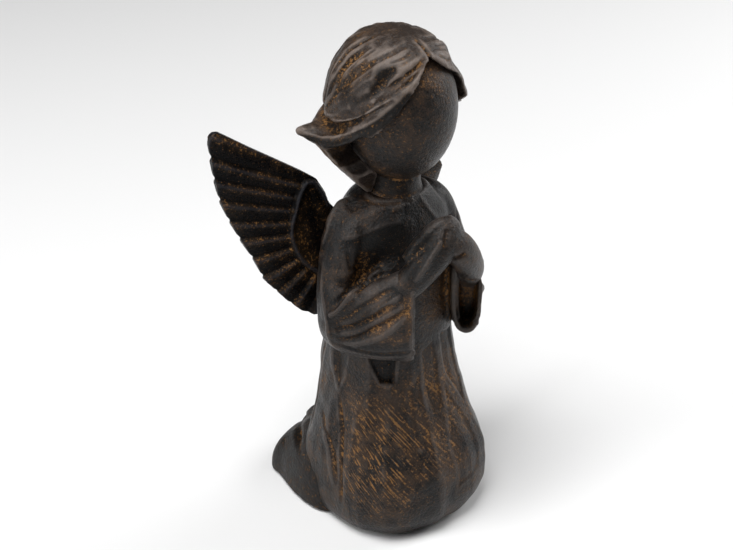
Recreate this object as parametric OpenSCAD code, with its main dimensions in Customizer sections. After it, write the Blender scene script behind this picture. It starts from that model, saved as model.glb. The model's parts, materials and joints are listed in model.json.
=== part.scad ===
// Kneeling angel figurine, cast resin, in separately cast and glued pieces.
// Millimetres. +Z is up, the figure faces -Y, its right hand is on the -X side.
// The origin lies on the resting plane, under the axis of the trunk.

/* [Robe] */
// Half-width of the skirt at its widest
skirt_w = 49.5; // [47:0.5:52]
// Reach of the knees in front of the trunk axis
knee_reach = 51.5; // [49:0.5:53]
// Reach of the seat behind the trunk axis
seat_reach = 46; // [45:0.5:48]
// Half-width of the chest
chest_w = 33; // [32:0.5:35]
// Height of the neckline
neckline_z = 203; // [201:0.5:205]
// Wall of the hollow skirt
wall = 6; // [5:0.5:8]
// Height of the top of the hollow
hollow_z = 112; // [80:1:120]

/* [Head] */
// Radius of the neck
neck_r = 12.2; // [11:0.2:13]
// Half-width of the face
face_w = 30; // [29:0.5:31]
// Half-depth of the face
face_d = 32.5; // [31.5:0.5:33]
// Half-height of the face
face_h = 40.5; // [39.5:0.5:41]
// Height of the middle of the face
face_z = 252; // [251:0.5:253]
// Height of the crown of the hair
crown_z = 294.5; // [294:0.5:297]
// Half-width of the hair over the ears
hair_w = 36.5; // [36:0.5:38]
// Half-width of the outward flick of the hair
flick_w = 48; // [46:0.5:50]

/* [Arms] */
// Distance of the elbows from the middle
elbow_x = 41; // [40:0.5:43]
// Height of the hem of the sleeves
sleeve_hem_z = 117; // [114:0.5:120]
// Height of the top of the cuffs
cuff_top_z = 175; // [172:0.5:178]
// Depth of the pocket inside each cuff
cuff_depth = 14; // [8:0.5:18]

/* [Wings] */
// Thickness of each wing
wing_t = 5.6; // [5:0.2:7]
// Depth of the grooves between the feathers
groove = 1.3; // [0.6:0.1:1.8]
// Backward sweep of the wings in degrees
wing_sweep = 14; // [12:0.5:16]
// Backward lean of the wings in degrees
wing_lean = 8.8; // [7:0.2:11]

/* [Legs and base] */
// Reach of the lower legs behind the trunk axis
leg_reach = 68; // [65:1:71]
// Thickness of the felt under the foot
felt_t = 1.2; // [0.8:0.1:2]
// Radius of the pouring hole in the underside
plug_r = 20; // [16:0.5:22]
// Thickness of the plug in the pouring hole
plug_t = 5; // [4:0.5:6]

/* [Dowels] */
// Radius of the neck dowel
neck_pin_r = 4; // [3:0.5:5]
// Radius of the shoulder and leg dowels
dowel_r = 3; // [2.5:0.5:4]
// Radius of the wing wires
wire_r = 1.5; // [1:0.1:1.8]
// Clearance of a dowel in its socket
fit_gap = 0.1; // [0.05:0.05:0.2]

/* [Hidden] */

resin = [0.20, 0.16, 0.13];
resin_dark = [0.13, 0.11, 0.10];
resin_light = [0.30, 0.22, 0.15];
steel = [0.62, 0.62, 0.64];
birch = [0.78, 0.66, 0.48];
felt = [0.12, 0.14, 0.12];

foot_z = felt_t;
sides = 44;
arm_sides = 28;

// Robe: height, half-width, front, back, squareness
robe_rows = [
  [foot_z, skirt_w - 7, knee_reach - 10.5, seat_reach - 5, 2.3],
  [foot_z + 5, skirt_w - 2.5, knee_reach - 4.5, seat_reach - 2, 2.4],
  [15, skirt_w - 0.5, knee_reach - 0.5, seat_reach - 0.5, 2.5],
  [26, skirt_w, knee_reach, seat_reach, 2.5],
  [42, skirt_w - 1.2, knee_reach - 2, seat_reach - 1, 2.5],
  [60, skirt_w - 6, knee_reach - 11, seat_reach - 3, 2.5],
  [75, chest_w + 7, knee_reach - 17.5, seat_reach - 3.5, 2.5],
  [90, chest_w + 4, knee_reach - 22, seat_reach - 3.5, 2.5],
  [105, chest_w + 2, knee_reach - 24, seat_reach - 5, 2.4],
  [120, chest_w + 1, knee_reach - 25, seat_reach - 6.5, 2.4],
  [140, chest_w, knee_reach - 25.5, seat_reach - 9, 2.3],
  [160, chest_w, knee_reach - 26.5, seat_reach - 11, 2.3],
  [176, chest_w, knee_reach - 28.5, seat_reach - 13, 2.2],
  [188, chest_w - 2, knee_reach - 31.5, seat_reach - 16, 2.2],
  [197, chest_w - 5.5, knee_reach - 35, seat_reach - 20, 2],
  [neckline_z, neck_r + 6.5, neck_r + 2.5, neck_r + 7.5, 2]
];

// Hair: height, half-width, front, back, squareness
hair_rows = [
  [204, 17, 11, 22, 2],
  [211, 24, 15, 28, 2],
  [219, 31, 21, 34, 2.1],
  [227, 37.5, 25, 38.5, 2.2],
  [232, 42, 28, 42, 2.4],
  [235, flick_w - 2, 31, 44.5, 2.6],
  [237.5, flick_w, 33, 46, 2.8],
  [239.5, flick_w - 1, 34, 45, 2.8],
  [242, flick_w - 6, 34.5, 41.5, 2.4],
  [247, hair_w, 35, 39.5, 2.2],
  [256, hair_w, 35.5, 39.5, 2.1],
  [264, hair_w - 1, 34.5, 38.5, 2],
  [272, hair_w - 3.2, 33, 36.5, 2],
  [279, hair_w - 7, 30.5, 32.5, 2],
  [crown_z - 9, hair_w - 11.5, 27.7, 27.5, 2],
  [crown_z - 5, hair_w - 17, 23, 21.5, 2],
  [crown_z - 2.2, hair_w - 23.5, 17, 15, 2],
  [crown_z - 0.5, hair_w - 29, 11, 8, 2],
  [crown_z, 2.5, 5, 2, 2]
];

// Arch of the hairline seen from the front: distance out, height
hairline = [
  [0, 287], [-9.5, 279], [-20.5, 272], [-27.7, 265], [-32.5, 253.6], [-35.5, 245],
  [-60, 244.5], [-60, 190], [0, 190]
];
// Rear limit of the face opening
ear_y = 7;

// Upper arm: height, centre out, centre back, half-width, half-depth
arm_rows = [
  [120, elbow_x - 1.5, -2, 6, 7],
  [125, elbow_x - 0.5, -2, 9.5, 10],
  [135, elbow_x - 0.5, -2, 11.3, 13],
  [150, elbow_x - 1.5, 0, 11.3, 13.5],
  [164, elbow_x - 4.5, 2, 11.2, 13.5],
  [178, 32.5, 4, 11, 13.5],
  [190, 28, 5, 10, 12],
  [197, 21.5, 5, 8, 9.5]
];

// Sleeve: centre out, centre forward, turn inward, half-width, hem, ridge
sleeve_rows = [
  [elbow_x - 1, -9, 0, 5, 125, 144],
  [elbow_x - 0.5, -3, 0, 9.3, sleeve_hem_z + 3, 150],
  [elbow_x - 1.5, 6, 8, 10.8, sleeve_hem_z + 0.5, 155],
  [35.3, 16, 22, 10.5, sleeve_hem_z, 163],
  [27.8, 27, 35, 9.8, sleeve_hem_z + 0.5, cuff_top_z - 5],
  [22, 35, 43, 9, sleeve_hem_z + 1.5, cuff_top_z],
  [19.2, 38.4, 45, 8.6, sleeve_hem_z + 3, cuff_top_z - 8]
];

// Hand: centre out, centre forward, height, half-width, half-height
hand_rows = [
  [27, 30, 157, 6.5, 6.5],
  [22, 35.5, 166, 7.5, 8],
  [16.5, 39.5, 174, 7.5, 8.8],
  [11, 42.3, 181.5, 7.5, 9.3],
  [5.5, 43.8, 188.5, 7.3, 9.3],
  [1, 44, 194, 6.6, 8.3],
  [-2, 43.8, 198, 4.8, 6],
  [-3.8, 43.5, 200.5, 2.4, 3]
];
hand_run = [0.58, -0.3, 0.76];

// Lower legs: distance behind the axis, half-width, height
leg_rows = [
  [18, 42, 50], [30, 45, 47], [40, 46, 42], [50, 46, 35],
  [leg_reach - 9, 45, 28], [leg_reach - 4, 41, 21], [leg_reach - 1, 35, 14],
  [leg_reach, 30, 9]
];

// Crossed feet: distance behind the axis, half-width, height
feet_rows = [
  [18, 19, 50], [32, 20, 48], [44, 20, 42], [54, 19, 35],
  [leg_reach - 5, 16.5, 29], [leg_reach - 1, 13, 23], [leg_reach + 2, 9, 17]
];

// Wing outline in its own plane, outward and up from its root
wing_edge = [
  [-14, 8], [1.5, 27], [4.4, 36.8], [7.5, 42.8], [16.5, 48.8], [27.5, 56.8],
  [43.8, 67.6], [57, 77], [60.7, 79.9], [63.5, 79.9], [66, 77.7], [66.8, 74],
  [66.1, 65.6], [65.7, 54.2], [64.1, 42.6], [60.3, 30.4], [54.7, 17.5],
  [48.4, 4.3], [43.3, -8.8], [36.9, -17], [30.9, -24], [23.2, -32.1],
  [16.2, -35.7], [8, -36], [-4, -30], [-14, -12]
];

// Covert pad at the root of the wing
covert_edge = [
  [-10, 10], [2.5, 27.5], [5.5, 36], [9, 42], [15.2, 43.3], [19.9, 37.3],
  [23.1, 28.8], [26.1, 21.4], [26.8, 13.9], [25.2, 4.7], [21.2, -3.4],
  [12, -12], [0, -16], [-10, -10]
];

// Grooves between the feathers: start and end in the plane of the wing
feather_lines = [
  [[8, 38], [70, 69]], [[10, 32], [70, 57]], [[12, 26], [70, 45]],
  [[14, 20], [68, 32]], [[15, 14], [64, 20]], [[15, 8], [58, 6]],
  [[14, 3], [52, -8]], [[12, -2], [43, -20]], [[9, -6], [33, -30]],
  [[5, -8], [22, -38]]
];
wing_root = [20, 28, 160];

function sgn_pow(v, p) = sign(v) * pow(abs(v), p);

// One oval of n points about c, squared off by power p
function hoop(c, half_w, front, back, p, n) = [
  for (i = [0:n - 1]) let (a = 360 * i / n, y = sgn_pow(sin(a), 2 / p))
    [c[0] + half_w * sgn_pow(cos(a), 2 / p), c[1] + (y < 0 ? front : back) * y, c[2]]
];

// One oval across the direction d
function band(c, d, half_w, half_h, p, n) =
  let (e = d / norm(d), s = cross([0, 0, 1], e), side = s / norm(s), up = cross(e, side))
  [for (i = [0:n - 1]) let (a = 360 * i / n)
    c + side * half_w * sgn_pow(cos(a), 2 / p) + up * half_h * sgn_pow(sin(a), 2 / p)];

function middle(r) = [for (k = [0:2]) [for (p = r) p[k]] * [for (p = r) 1] / len(r)];

// Closed skin through a list of rings, each with the same number of points
module skin(rings) {
  n = len(rings[0]);
  m = len(rings);
  points = concat([for (r = rings) each r], [middle(rings[0]), middle(rings[m - 1])]);
  walls = [for (j = [0:m - 2], i = [0:n - 1]) let (a = j * n + i, b = j * n + (i + 1) % n)
    each [[a, a + n, b + n], [a, b + n, b]]];
  low = [for (i = [0:n - 1]) [m * n, i, (i + 1) % n]];
  high = [for (i = [0:n - 1]) [m * n + 1, (m - 1) * n + (i + 1) % n, (m - 1) * n + i]];
  polyhedron(points, concat(walls, low, high), convexity = 6);
}

module mirrored(side) {
  if (side > 0) mirror([1, 0, 0]) children();
  else children();
}

// The organic skins of one casting, merged to one surface
module cast_surface() {
  resize([0, 0, 0]) children();
}

module robe_solid() {
  skin([for (r = robe_rows) hoop([0, 0, r[0]], r[1], r[2], r[3], r[4], sides)]);
}

module robe_hollow() {
  rows = [for (z = [foot_z + wall + 1, 14, 26, 42, 60, 80, 100, hollow_z])
    let (r = row_at(robe_rows, z)) [z, r[1] - wall, r[2] - wall, r[3] - 3 * wall, 2.2]];
  skin([for (r = rows) hoop([0, 0, r[0]], r[1], r[2], r[3], r[4], 32)]);
}

// Values of a table at height z, by straight lines between its rows
function row_at(rows, z) =
  let (k = max([for (i = [0:len(rows) - 2]) rows[i][0] <= z ? i : 0]),
       f = (z - rows[k][0]) / (rows[k + 1][0] - rows[k][0]))
  rows[k] * (1 - f) + rows[k + 1] * f;

module face_solid() {
  translate([0, -2, face_z]) scale([face_w, face_d, face_h]) sphere(r = 1, $fn = 48);
}

module neck_solid() {
  translate([0, 0, neckline_z - 1]) cylinder(r = neck_r, h = face_z - neckline_z - 10, $fn = 48);
}

// A post along the direction d from the point p
module post(p, d, r, length) {
  translate(p)
    rotate([0, acos(d[2] / norm(d)), atan2(d[1], d[0])])
      cylinder(r = r, h = length, $fn = 32);
}

module neck_post(gap) {
  post([0, 0, neckline_z - 20 - gap], [0, 0, 1], neck_pin_r + gap, 44 + 2 * gap);
}

module shoulder_post(side, gap) {
  post([side * (22 - gap), -1, 172], [side, 0, 0], dowel_r + gap, 18 + 2 * gap);
}

module leg_post(side, gap) {
  post([side * 16, 34 - gap, 14], [0, 1, 0], dowel_r + gap, 22 + 2 * gap);
}

module wing_post(side, gap) {
  p = [side * (24 - gap), 29 - 0.24 * gap, 160];
  post(p, [side * cos(wing_sweep), sin(wing_sweep), 0], wire_r + gap, 15 + 2 * gap);
}

module robe_body() {
  color(resin) difference() {
    robe_solid();
    robe_hollow();
    translate([0, 0, -1]) cylinder(r = plug_r, h = foot_z + wall + 3, $fn = 64);
    neck_post(fit_gap);
    for (side = [-1, 1]) {
      shoulder_post(side, fit_gap);
      leg_post(side, fit_gap);
      wing_post(side, fit_gap);
    }
  }
}

// One lobe of the robe over the lower legs, flat underneath
module leg_lobe(rows, x) {
  skin([for (r = rows)
    [for (i = [0:arm_sides - 1])
      let (a = 180 * i / (arm_sides - 1),
           reach = r[1] * sgn_pow(cos(a), 0.7),
           rise = i == 0 || i == arm_sides - 1 ? 0 : pow(sin(a), 0.7))
      [x - reach, r[0], foot_z + (r[2] - foot_z) * rise]]]);
}

module lower_legs() {
  color(resin) difference() {
    cast_surface() difference() {
      union() {
        leg_lobe(leg_rows, 0);
        leg_lobe(feet_rows, -6);
      }
      robe_solid();
      translate([0, 0, -fit_gap]) robe_solid();
    }
    for (side = [-1, 1]) leg_post(side, fit_gap);
  }
}

// Right sleeve with its upper arm, before it is fitted to the trunk
module sleeve_solid() {
  skin([for (r = arm_rows) hoop([-r[1], r[2], r[0]], r[3], r[4], r[4], 2.2, arm_sides)]);
  skin([for (r = sleeve_rows)
    band([-r[0], -r[1], (r[4] + r[5]) / 2], [sin(r[2]), -cos(r[2]), 0],
         r[3], (r[5] - r[4]) / 2, 2.4, arm_sides)]);
}

module cuff_pocket() {
  last = sleeve_rows[len(sleeve_rows) - 1];
  run = [sin(last[2]), -cos(last[2]), 0];
  mouth = [-last[0], -last[1], (last[4] + last[5]) / 2];
  high = (last[5] - last[4]) / 2;
  skin([for (k = [-cuff_depth, -cuff_depth + 4, 0, 2])
    let (pinch = k == -cuff_depth ? 5 : 2.8)
    band(mouth + k * run, run, last[3] - pinch, high - pinch, 2.4, arm_sides)]);
}

module hand_solid() {
  skin([for (r = hand_rows)
    band([-r[0], -r[1], r[2]], hand_run, r[3], r[4], 2.2, arm_sides)]);
}

module sleeve(side) {
  color(resin_dark) difference() {
    mirrored(side) cast_surface() difference() {
      union() sleeve_solid();
      robe_solid();
      cuff_pocket();
      hand_solid();
    }
    shoulder_post(side, fit_gap);
  }
}

module right_sleeve() { sleeve(-1); }
module left_sleeve() { sleeve(1); }

module right_hand() {
  color(resin_light) cast_surface() difference() {
    hand_solid();
    robe_solid();
  }
}

module left_hand() {
  color(resin_light) cast_surface() difference() {
    translate([0, -2, -6]) mirror([1, 0, 0]) hand_solid();
    robe_solid();
    hand_solid();
  }
}

module head() {
  color(resin) difference() {
    cast_surface() union() {
      face_solid();
      neck_solid();
    }
    robe_solid();
    neck_post(fit_gap);
  }
}

// Opening in the hair around the face, an arch on both sides of the parting
module face_opening() {
  for (side = [-1, 1]) mirrored(side)
    translate([0, ear_y, 0]) rotate([90, 0, 0]) linear_extrude(60) polygon(hairline);
}

module hair() {
  color(resin_dark) cast_surface() difference() {
    skin([for (r = hair_rows) hoop([0, 0, r[0]], r[1], r[2], r[3], r[4], sides)]);
    face_solid();
    neck_solid();
    face_opening();
  }
}

// Places a wing drawn in XY at the root, outward to the figure's right
module wing_place(side) {
  mirrored(side) translate([-wing_root[0], wing_root[1], wing_root[2]])
    rotate([0, 0, -wing_sweep]) rotate([-wing_lean, 0, 0])
      rotate([90, 0, 0]) mirror([1, 0, 0]) children();
}

module wing_blank() {
  difference() {
    translate([0, 0, -wing_t / 2]) linear_extrude(wing_t) polygon(wing_edge);
    for (line = feather_lines, face = [-1, 1])
      feather_groove(line[0], line[1], face);
  }
  translate([0, 0, -wing_t / 2 - 1]) linear_extrude(wing_t + 2) polygon(covert_edge);
}

// V-shaped valley along one feather edge
module feather_groove(a, b, face) {
  run = b - a;
  translate([a[0], a[1], face * wing_t / 2])
    rotate([0, 0, atan2(run[1], run[0])])
      rotate([45, 0, 0]) translate([0, -groove, -groove])
        cube([norm(run), 2 * groove, 2 * groove]);
}

module wing(side) {
  color(resin_dark) difference() {
    cast_surface() difference() {
      wing_place(side) wing_blank();
      robe_solid();
      mirrored(side) sleeve_solid();
    }
    wing_post(side, fit_gap);
  }
}

module right_wing() { wing(-1); }
module left_wing() { wing(1); }

module neck_dowel() { color(birch) neck_post(0); }
module right_shoulder_dowel() { color(birch) shoulder_post(-1, 0); }
module left_shoulder_dowel() { color(birch) shoulder_post(1, 0); }
module right_wing_wire() { color(steel) wing_post(-1, 0); }
module left_wing_wire() { color(steel) wing_post(1, 0); }
module right_leg_dowel() { color(birch) leg_post(-1, 0); }
module left_leg_dowel() { color(birch) leg_post(1, 0); }

module base_plug() {
  color(resin) translate([0, 0, foot_z])
    cylinder(r = plug_r - fit_gap, h = plug_t, $fn = 64);
}

module base_felt() {
  foot = robe_rows[0];
  color(felt) linear_extrude(felt_t) union() {
    polygon([for (p = hoop([0, 0, 0], foot[1] - 3, foot[2] - 3, foot[3], foot[4], sides))
      [p[0], p[1]]]);
    translate([-36, 20]) square([72, leg_reach - 26]);
  }
}

robe_body();
lower_legs();
right_sleeve();
left_sleeve();
right_hand();
left_hand();
head();
hair();
right_wing();
left_wing();
neck_dowel();
right_shoulder_dowel();
left_shoulder_dowel();
right_wing_wire();
left_wing_wire();
right_leg_dowel();
left_leg_dowel();
base_plug();
base_felt();
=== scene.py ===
"""Kneeling angel figurine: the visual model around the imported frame.

Tables are in millimetres, Blender works in metres. +Z is up, the figure faces -Y and its
right hand is on the -X side. A turn is an angle round Z in degrees, from the front towards
the figure's right.
"""

import enum
import json
import logging
import math
from dataclasses import dataclass, field

import bmesh
import bpy
import numpy as np
from mathutils import Matrix, Vector
from mathutils.bvhtree import BVHTree
from mathutils.kdtree import KDTree

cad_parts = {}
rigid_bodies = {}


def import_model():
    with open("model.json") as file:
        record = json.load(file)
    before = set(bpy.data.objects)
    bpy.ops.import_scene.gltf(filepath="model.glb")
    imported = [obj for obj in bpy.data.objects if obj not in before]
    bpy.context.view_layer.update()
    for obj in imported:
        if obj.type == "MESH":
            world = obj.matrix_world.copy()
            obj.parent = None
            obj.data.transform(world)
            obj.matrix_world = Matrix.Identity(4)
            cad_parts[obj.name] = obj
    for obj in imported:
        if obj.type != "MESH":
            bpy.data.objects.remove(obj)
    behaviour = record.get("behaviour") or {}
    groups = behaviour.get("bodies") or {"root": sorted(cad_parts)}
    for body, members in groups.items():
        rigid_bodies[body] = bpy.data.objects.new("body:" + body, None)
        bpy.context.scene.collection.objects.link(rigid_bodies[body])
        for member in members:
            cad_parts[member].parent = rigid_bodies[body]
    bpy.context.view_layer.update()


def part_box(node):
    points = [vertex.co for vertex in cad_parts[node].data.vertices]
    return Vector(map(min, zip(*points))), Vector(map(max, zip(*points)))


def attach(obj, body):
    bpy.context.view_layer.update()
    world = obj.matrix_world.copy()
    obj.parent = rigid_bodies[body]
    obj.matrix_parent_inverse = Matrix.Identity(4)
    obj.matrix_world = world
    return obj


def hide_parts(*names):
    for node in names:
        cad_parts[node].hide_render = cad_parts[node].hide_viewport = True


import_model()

MM = 0.001
CARRIED_WOOD = (
    "neck_dowel",
    "right_shoulder_dowel",
    "left_shoulder_dowel",
    "right_leg_dowel",
    "left_leg_dowel",
)
CARRIED_STEEL = ("right_wing_wire", "left_wing_wire")

# Metres from the axis to where every ray that looks for the surface starts.
FAR_OUT = 0.25
# Millimetres round the skirt for one degree of turn.
ARC = 0.66
# Steps that round off each gap between two points of a stroke.
STROKE_STEPS = 8
# Millimetres that the wall of a parted casting turns inwards at its seam.
SEAM_WALL = 3.0
# Smoothing rounds and gain of each size of hollow that collects paint and takes painted shade.
HOLLOW_SCALES = ((3, 4.0), (14, 1.0), (40, 0.35))
# Smoothing rounds that show the broad hollows, which get painted shade.
BROAD_ROUNDS = 90
MOST_WASH = 1.3
# Shares of a smoothing pass and of the pass that swells the surface back.
RELAX_IN = 0.55
RELAX_OUT = -0.56
# Share of the skirt at which each row of facets starts and stops.
FACET_ROWS = ((0.0, 0.45), (0.35, 0.75), (0.65, 1.0))
# Reach of a lap behind its edge and limit of its paint, and how sharply a stroke tapers.
LAP_FADE = 2.2
LAP_END = 2.6
LAP_PAINT_END = 9
TAPER_POWER = 0.7

log = logging.getLogger("angel")


class Side(enum.Enum):
    """Side of the figure, as the sign of X."""

    RIGHT = -1
    LEFT = 1


class Cut(enum.Enum):
    """Cross-section of a sculpting stroke."""

    GROOVE = "groove"
    RIDGE = "ridge"
    LAP = "lap"


# ---------------------------------------------------------------- rings and skins


def eased(rows: list | tuple, steps: int = 4) -> np.ndarray:
    """Fill in a table by a smooth curve through its rows.

    Args:
        rows: Rows of equal length.
        steps: Rows made for each gap.

    Returns:
        The filled table.
    """
    table = np.array(rows, dtype=float)
    ends = np.vstack([2 * table[0] - table[1], table, 2 * table[-1] - table[-2]])
    out = []
    for k in range(len(table) - 1):
        a, b, c, d = ends[k : k + 4]
        for t in np.arange(steps) / steps:
            bend = (2 * a - 5 * b + 4 * c - d) * t**2 + (3 * b - a - 3 * c + d) * t**3
            out.append(0.5 * (2 * b + (c - a) * t + bend))
    out.append(table[-1])
    return np.array(out)


def squared(values: np.ndarray, power: float) -> np.ndarray:
    """Push a cosine or sine outwards to square off an oval."""
    return np.sign(values) * np.abs(values) ** (2 / power)


def hoop(row: np.ndarray | tuple, centre: tuple = (0.0, 0.0), count: int = 72) -> np.ndarray:
    """Make one level oval.

    Args:
        row: Height, half-width, front, back and squareness.
        centre: Middle of the oval.
        count: Number of points.

    Returns:
        Points of the ring in millimetres.
    """
    height, half_w, front, back, power = row
    angle = np.linspace(0, 2 * math.pi, count, endpoint=False)
    across = squared(np.cos(angle), power)
    along = squared(np.sin(angle), power)
    reach = np.where(along < 0, front, back)
    x = centre[0] + half_w * across
    return np.column_stack([x, centre[1] + reach * along, np.full(count, height)])


def band(centre: tuple, run: tuple, half_w: float, half_h: float, power: float) -> np.ndarray:
    """Make one oval square to a direction.

    Args:
        centre: Middle of the oval.
        run: Direction through the oval.
        half_w: Half of its level size.
        half_h: Half of its other size.
        power: Squareness.

    Returns:
        Points of the ring in millimetres.
    """
    ahead = Vector(run).normalized()
    side = Vector((0, 0, 1)).cross(ahead).normalized()
    rise = ahead.cross(side)
    angle = np.linspace(0, 2 * math.pi, 48, endpoint=False)
    across = np.outer(squared(np.cos(angle), power) * half_w, side)
    return np.array(centre) + across + np.outer(squared(np.sin(angle), power) * half_h, rise)


def mirrored(rings: list[np.ndarray], side: Side) -> list[np.ndarray]:
    """Move rings drawn for the right side over to the wanted side."""
    return [ring * ((1, 1, 1) if side is Side.RIGHT else (-1, 1, 1)) for ring in rings]


def add_skin(bm: bmesh.types.BMesh, rings: list[np.ndarray]) -> None:
    """Bridge rings to one closed skin.

    Args:
        bm: Mesh that receives the skin.
        rings: Rings of points in millimetres.
    """
    loops = []
    for ring in rings:
        made = bmesh.ops.create_circle(bm, segments=len(ring), radius=1.0)["verts"]
        for vert, place in zip(made, ring):
            vert.co = Vector(place) * MM
        loops.append(list({edge for vert in made for edge in vert.link_edges}))
    for low, high in zip(loops, loops[1:]):
        bmesh.ops.bridge_loops(bm, edges=low + high)
    for loop in (loops[0], loops[-1]):
        bmesh.ops.contextual_create(bm, geom=loop)


def skin_object(name: str, skins: list[list[np.ndarray]]) -> bpy.types.Object:
    """Make an object of closed skins.

    Args:
        name: Name of the object.
        skins: Lists of rings.

    Returns:
        The object, linked to the scene.
    """
    bm = bmesh.new()
    for rings in skins:
        add_skin(bm, rings)
    bmesh.ops.recalc_face_normals(bm, faces=bm.faces)
    return object_from(bm, name)


def object_from(bm: bmesh.types.BMesh, name: str) -> bpy.types.Object:
    """Turn a bmesh into a linked object and free the bmesh.

    Args:
        bm: Mesh that the object gets.
        name: Name of the object.

    Returns:
        The object, linked to the scene.
    """
    mesh = bpy.data.meshes.new(name)
    bm.to_mesh(mesh)
    bm.free()
    made = bpy.data.objects.new(name, mesh)
    bpy.context.scene.collection.objects.link(made)
    return made


def bake_modifiers(thing: bpy.types.Object) -> None:
    """Replace an object's mesh by the result of its modifiers.

    Args:
        thing: The object.
    """
    bpy.context.view_layer.update()
    graph = bpy.context.evaluated_depsgraph_get()
    done = bpy.data.meshes.new_from_object(thing.evaluated_get(graph))
    thing.modifiers.clear()
    thing.data = done


def remesh(thing: bpy.types.Object, size: float) -> None:
    """Merge all skins of an object to one even surface.

    Args:
        thing: Object of closed skins.
        size: Spacing of the new surface in millimetres.
    """
    step = thing.modifiers.new("even", "REMESH")
    step.mode = "VOXEL"
    step.voxel_size = size * MM
    bake_modifiers(thing)


def subtract(thing: bpy.types.Object, cutter: bpy.types.Object) -> None:
    """Cut one object out of another and drop the cutter.

    Args:
        thing: Object that is cut.
        cutter: Object that is taken out of it.
    """
    step = thing.modifiers.new("cut", "BOOLEAN")
    step.operation = "DIFFERENCE"
    step.solver = "MANIFOLD"
    step.object = cutter
    bake_modifiers(thing)
    bpy.data.objects.remove(cutter)


# ---------------------------------------------------------------- sculpting


@dataclass(frozen=True)
class Stroke:
    """One stroke of the modelling tool over a surface.

    The path holds (turn, height) pairs. Depth is positive for material added by a ridge or
    a lap and for material taken by a groove. A lap rises on the left of its direction.
    """

    path: tuple
    width: float
    depth: float
    cut: Cut = Cut.GROOVE
    wash: float = 0.0
    reach: float = 6.0
    taper: float = 0.18
    both: bool = True


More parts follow.
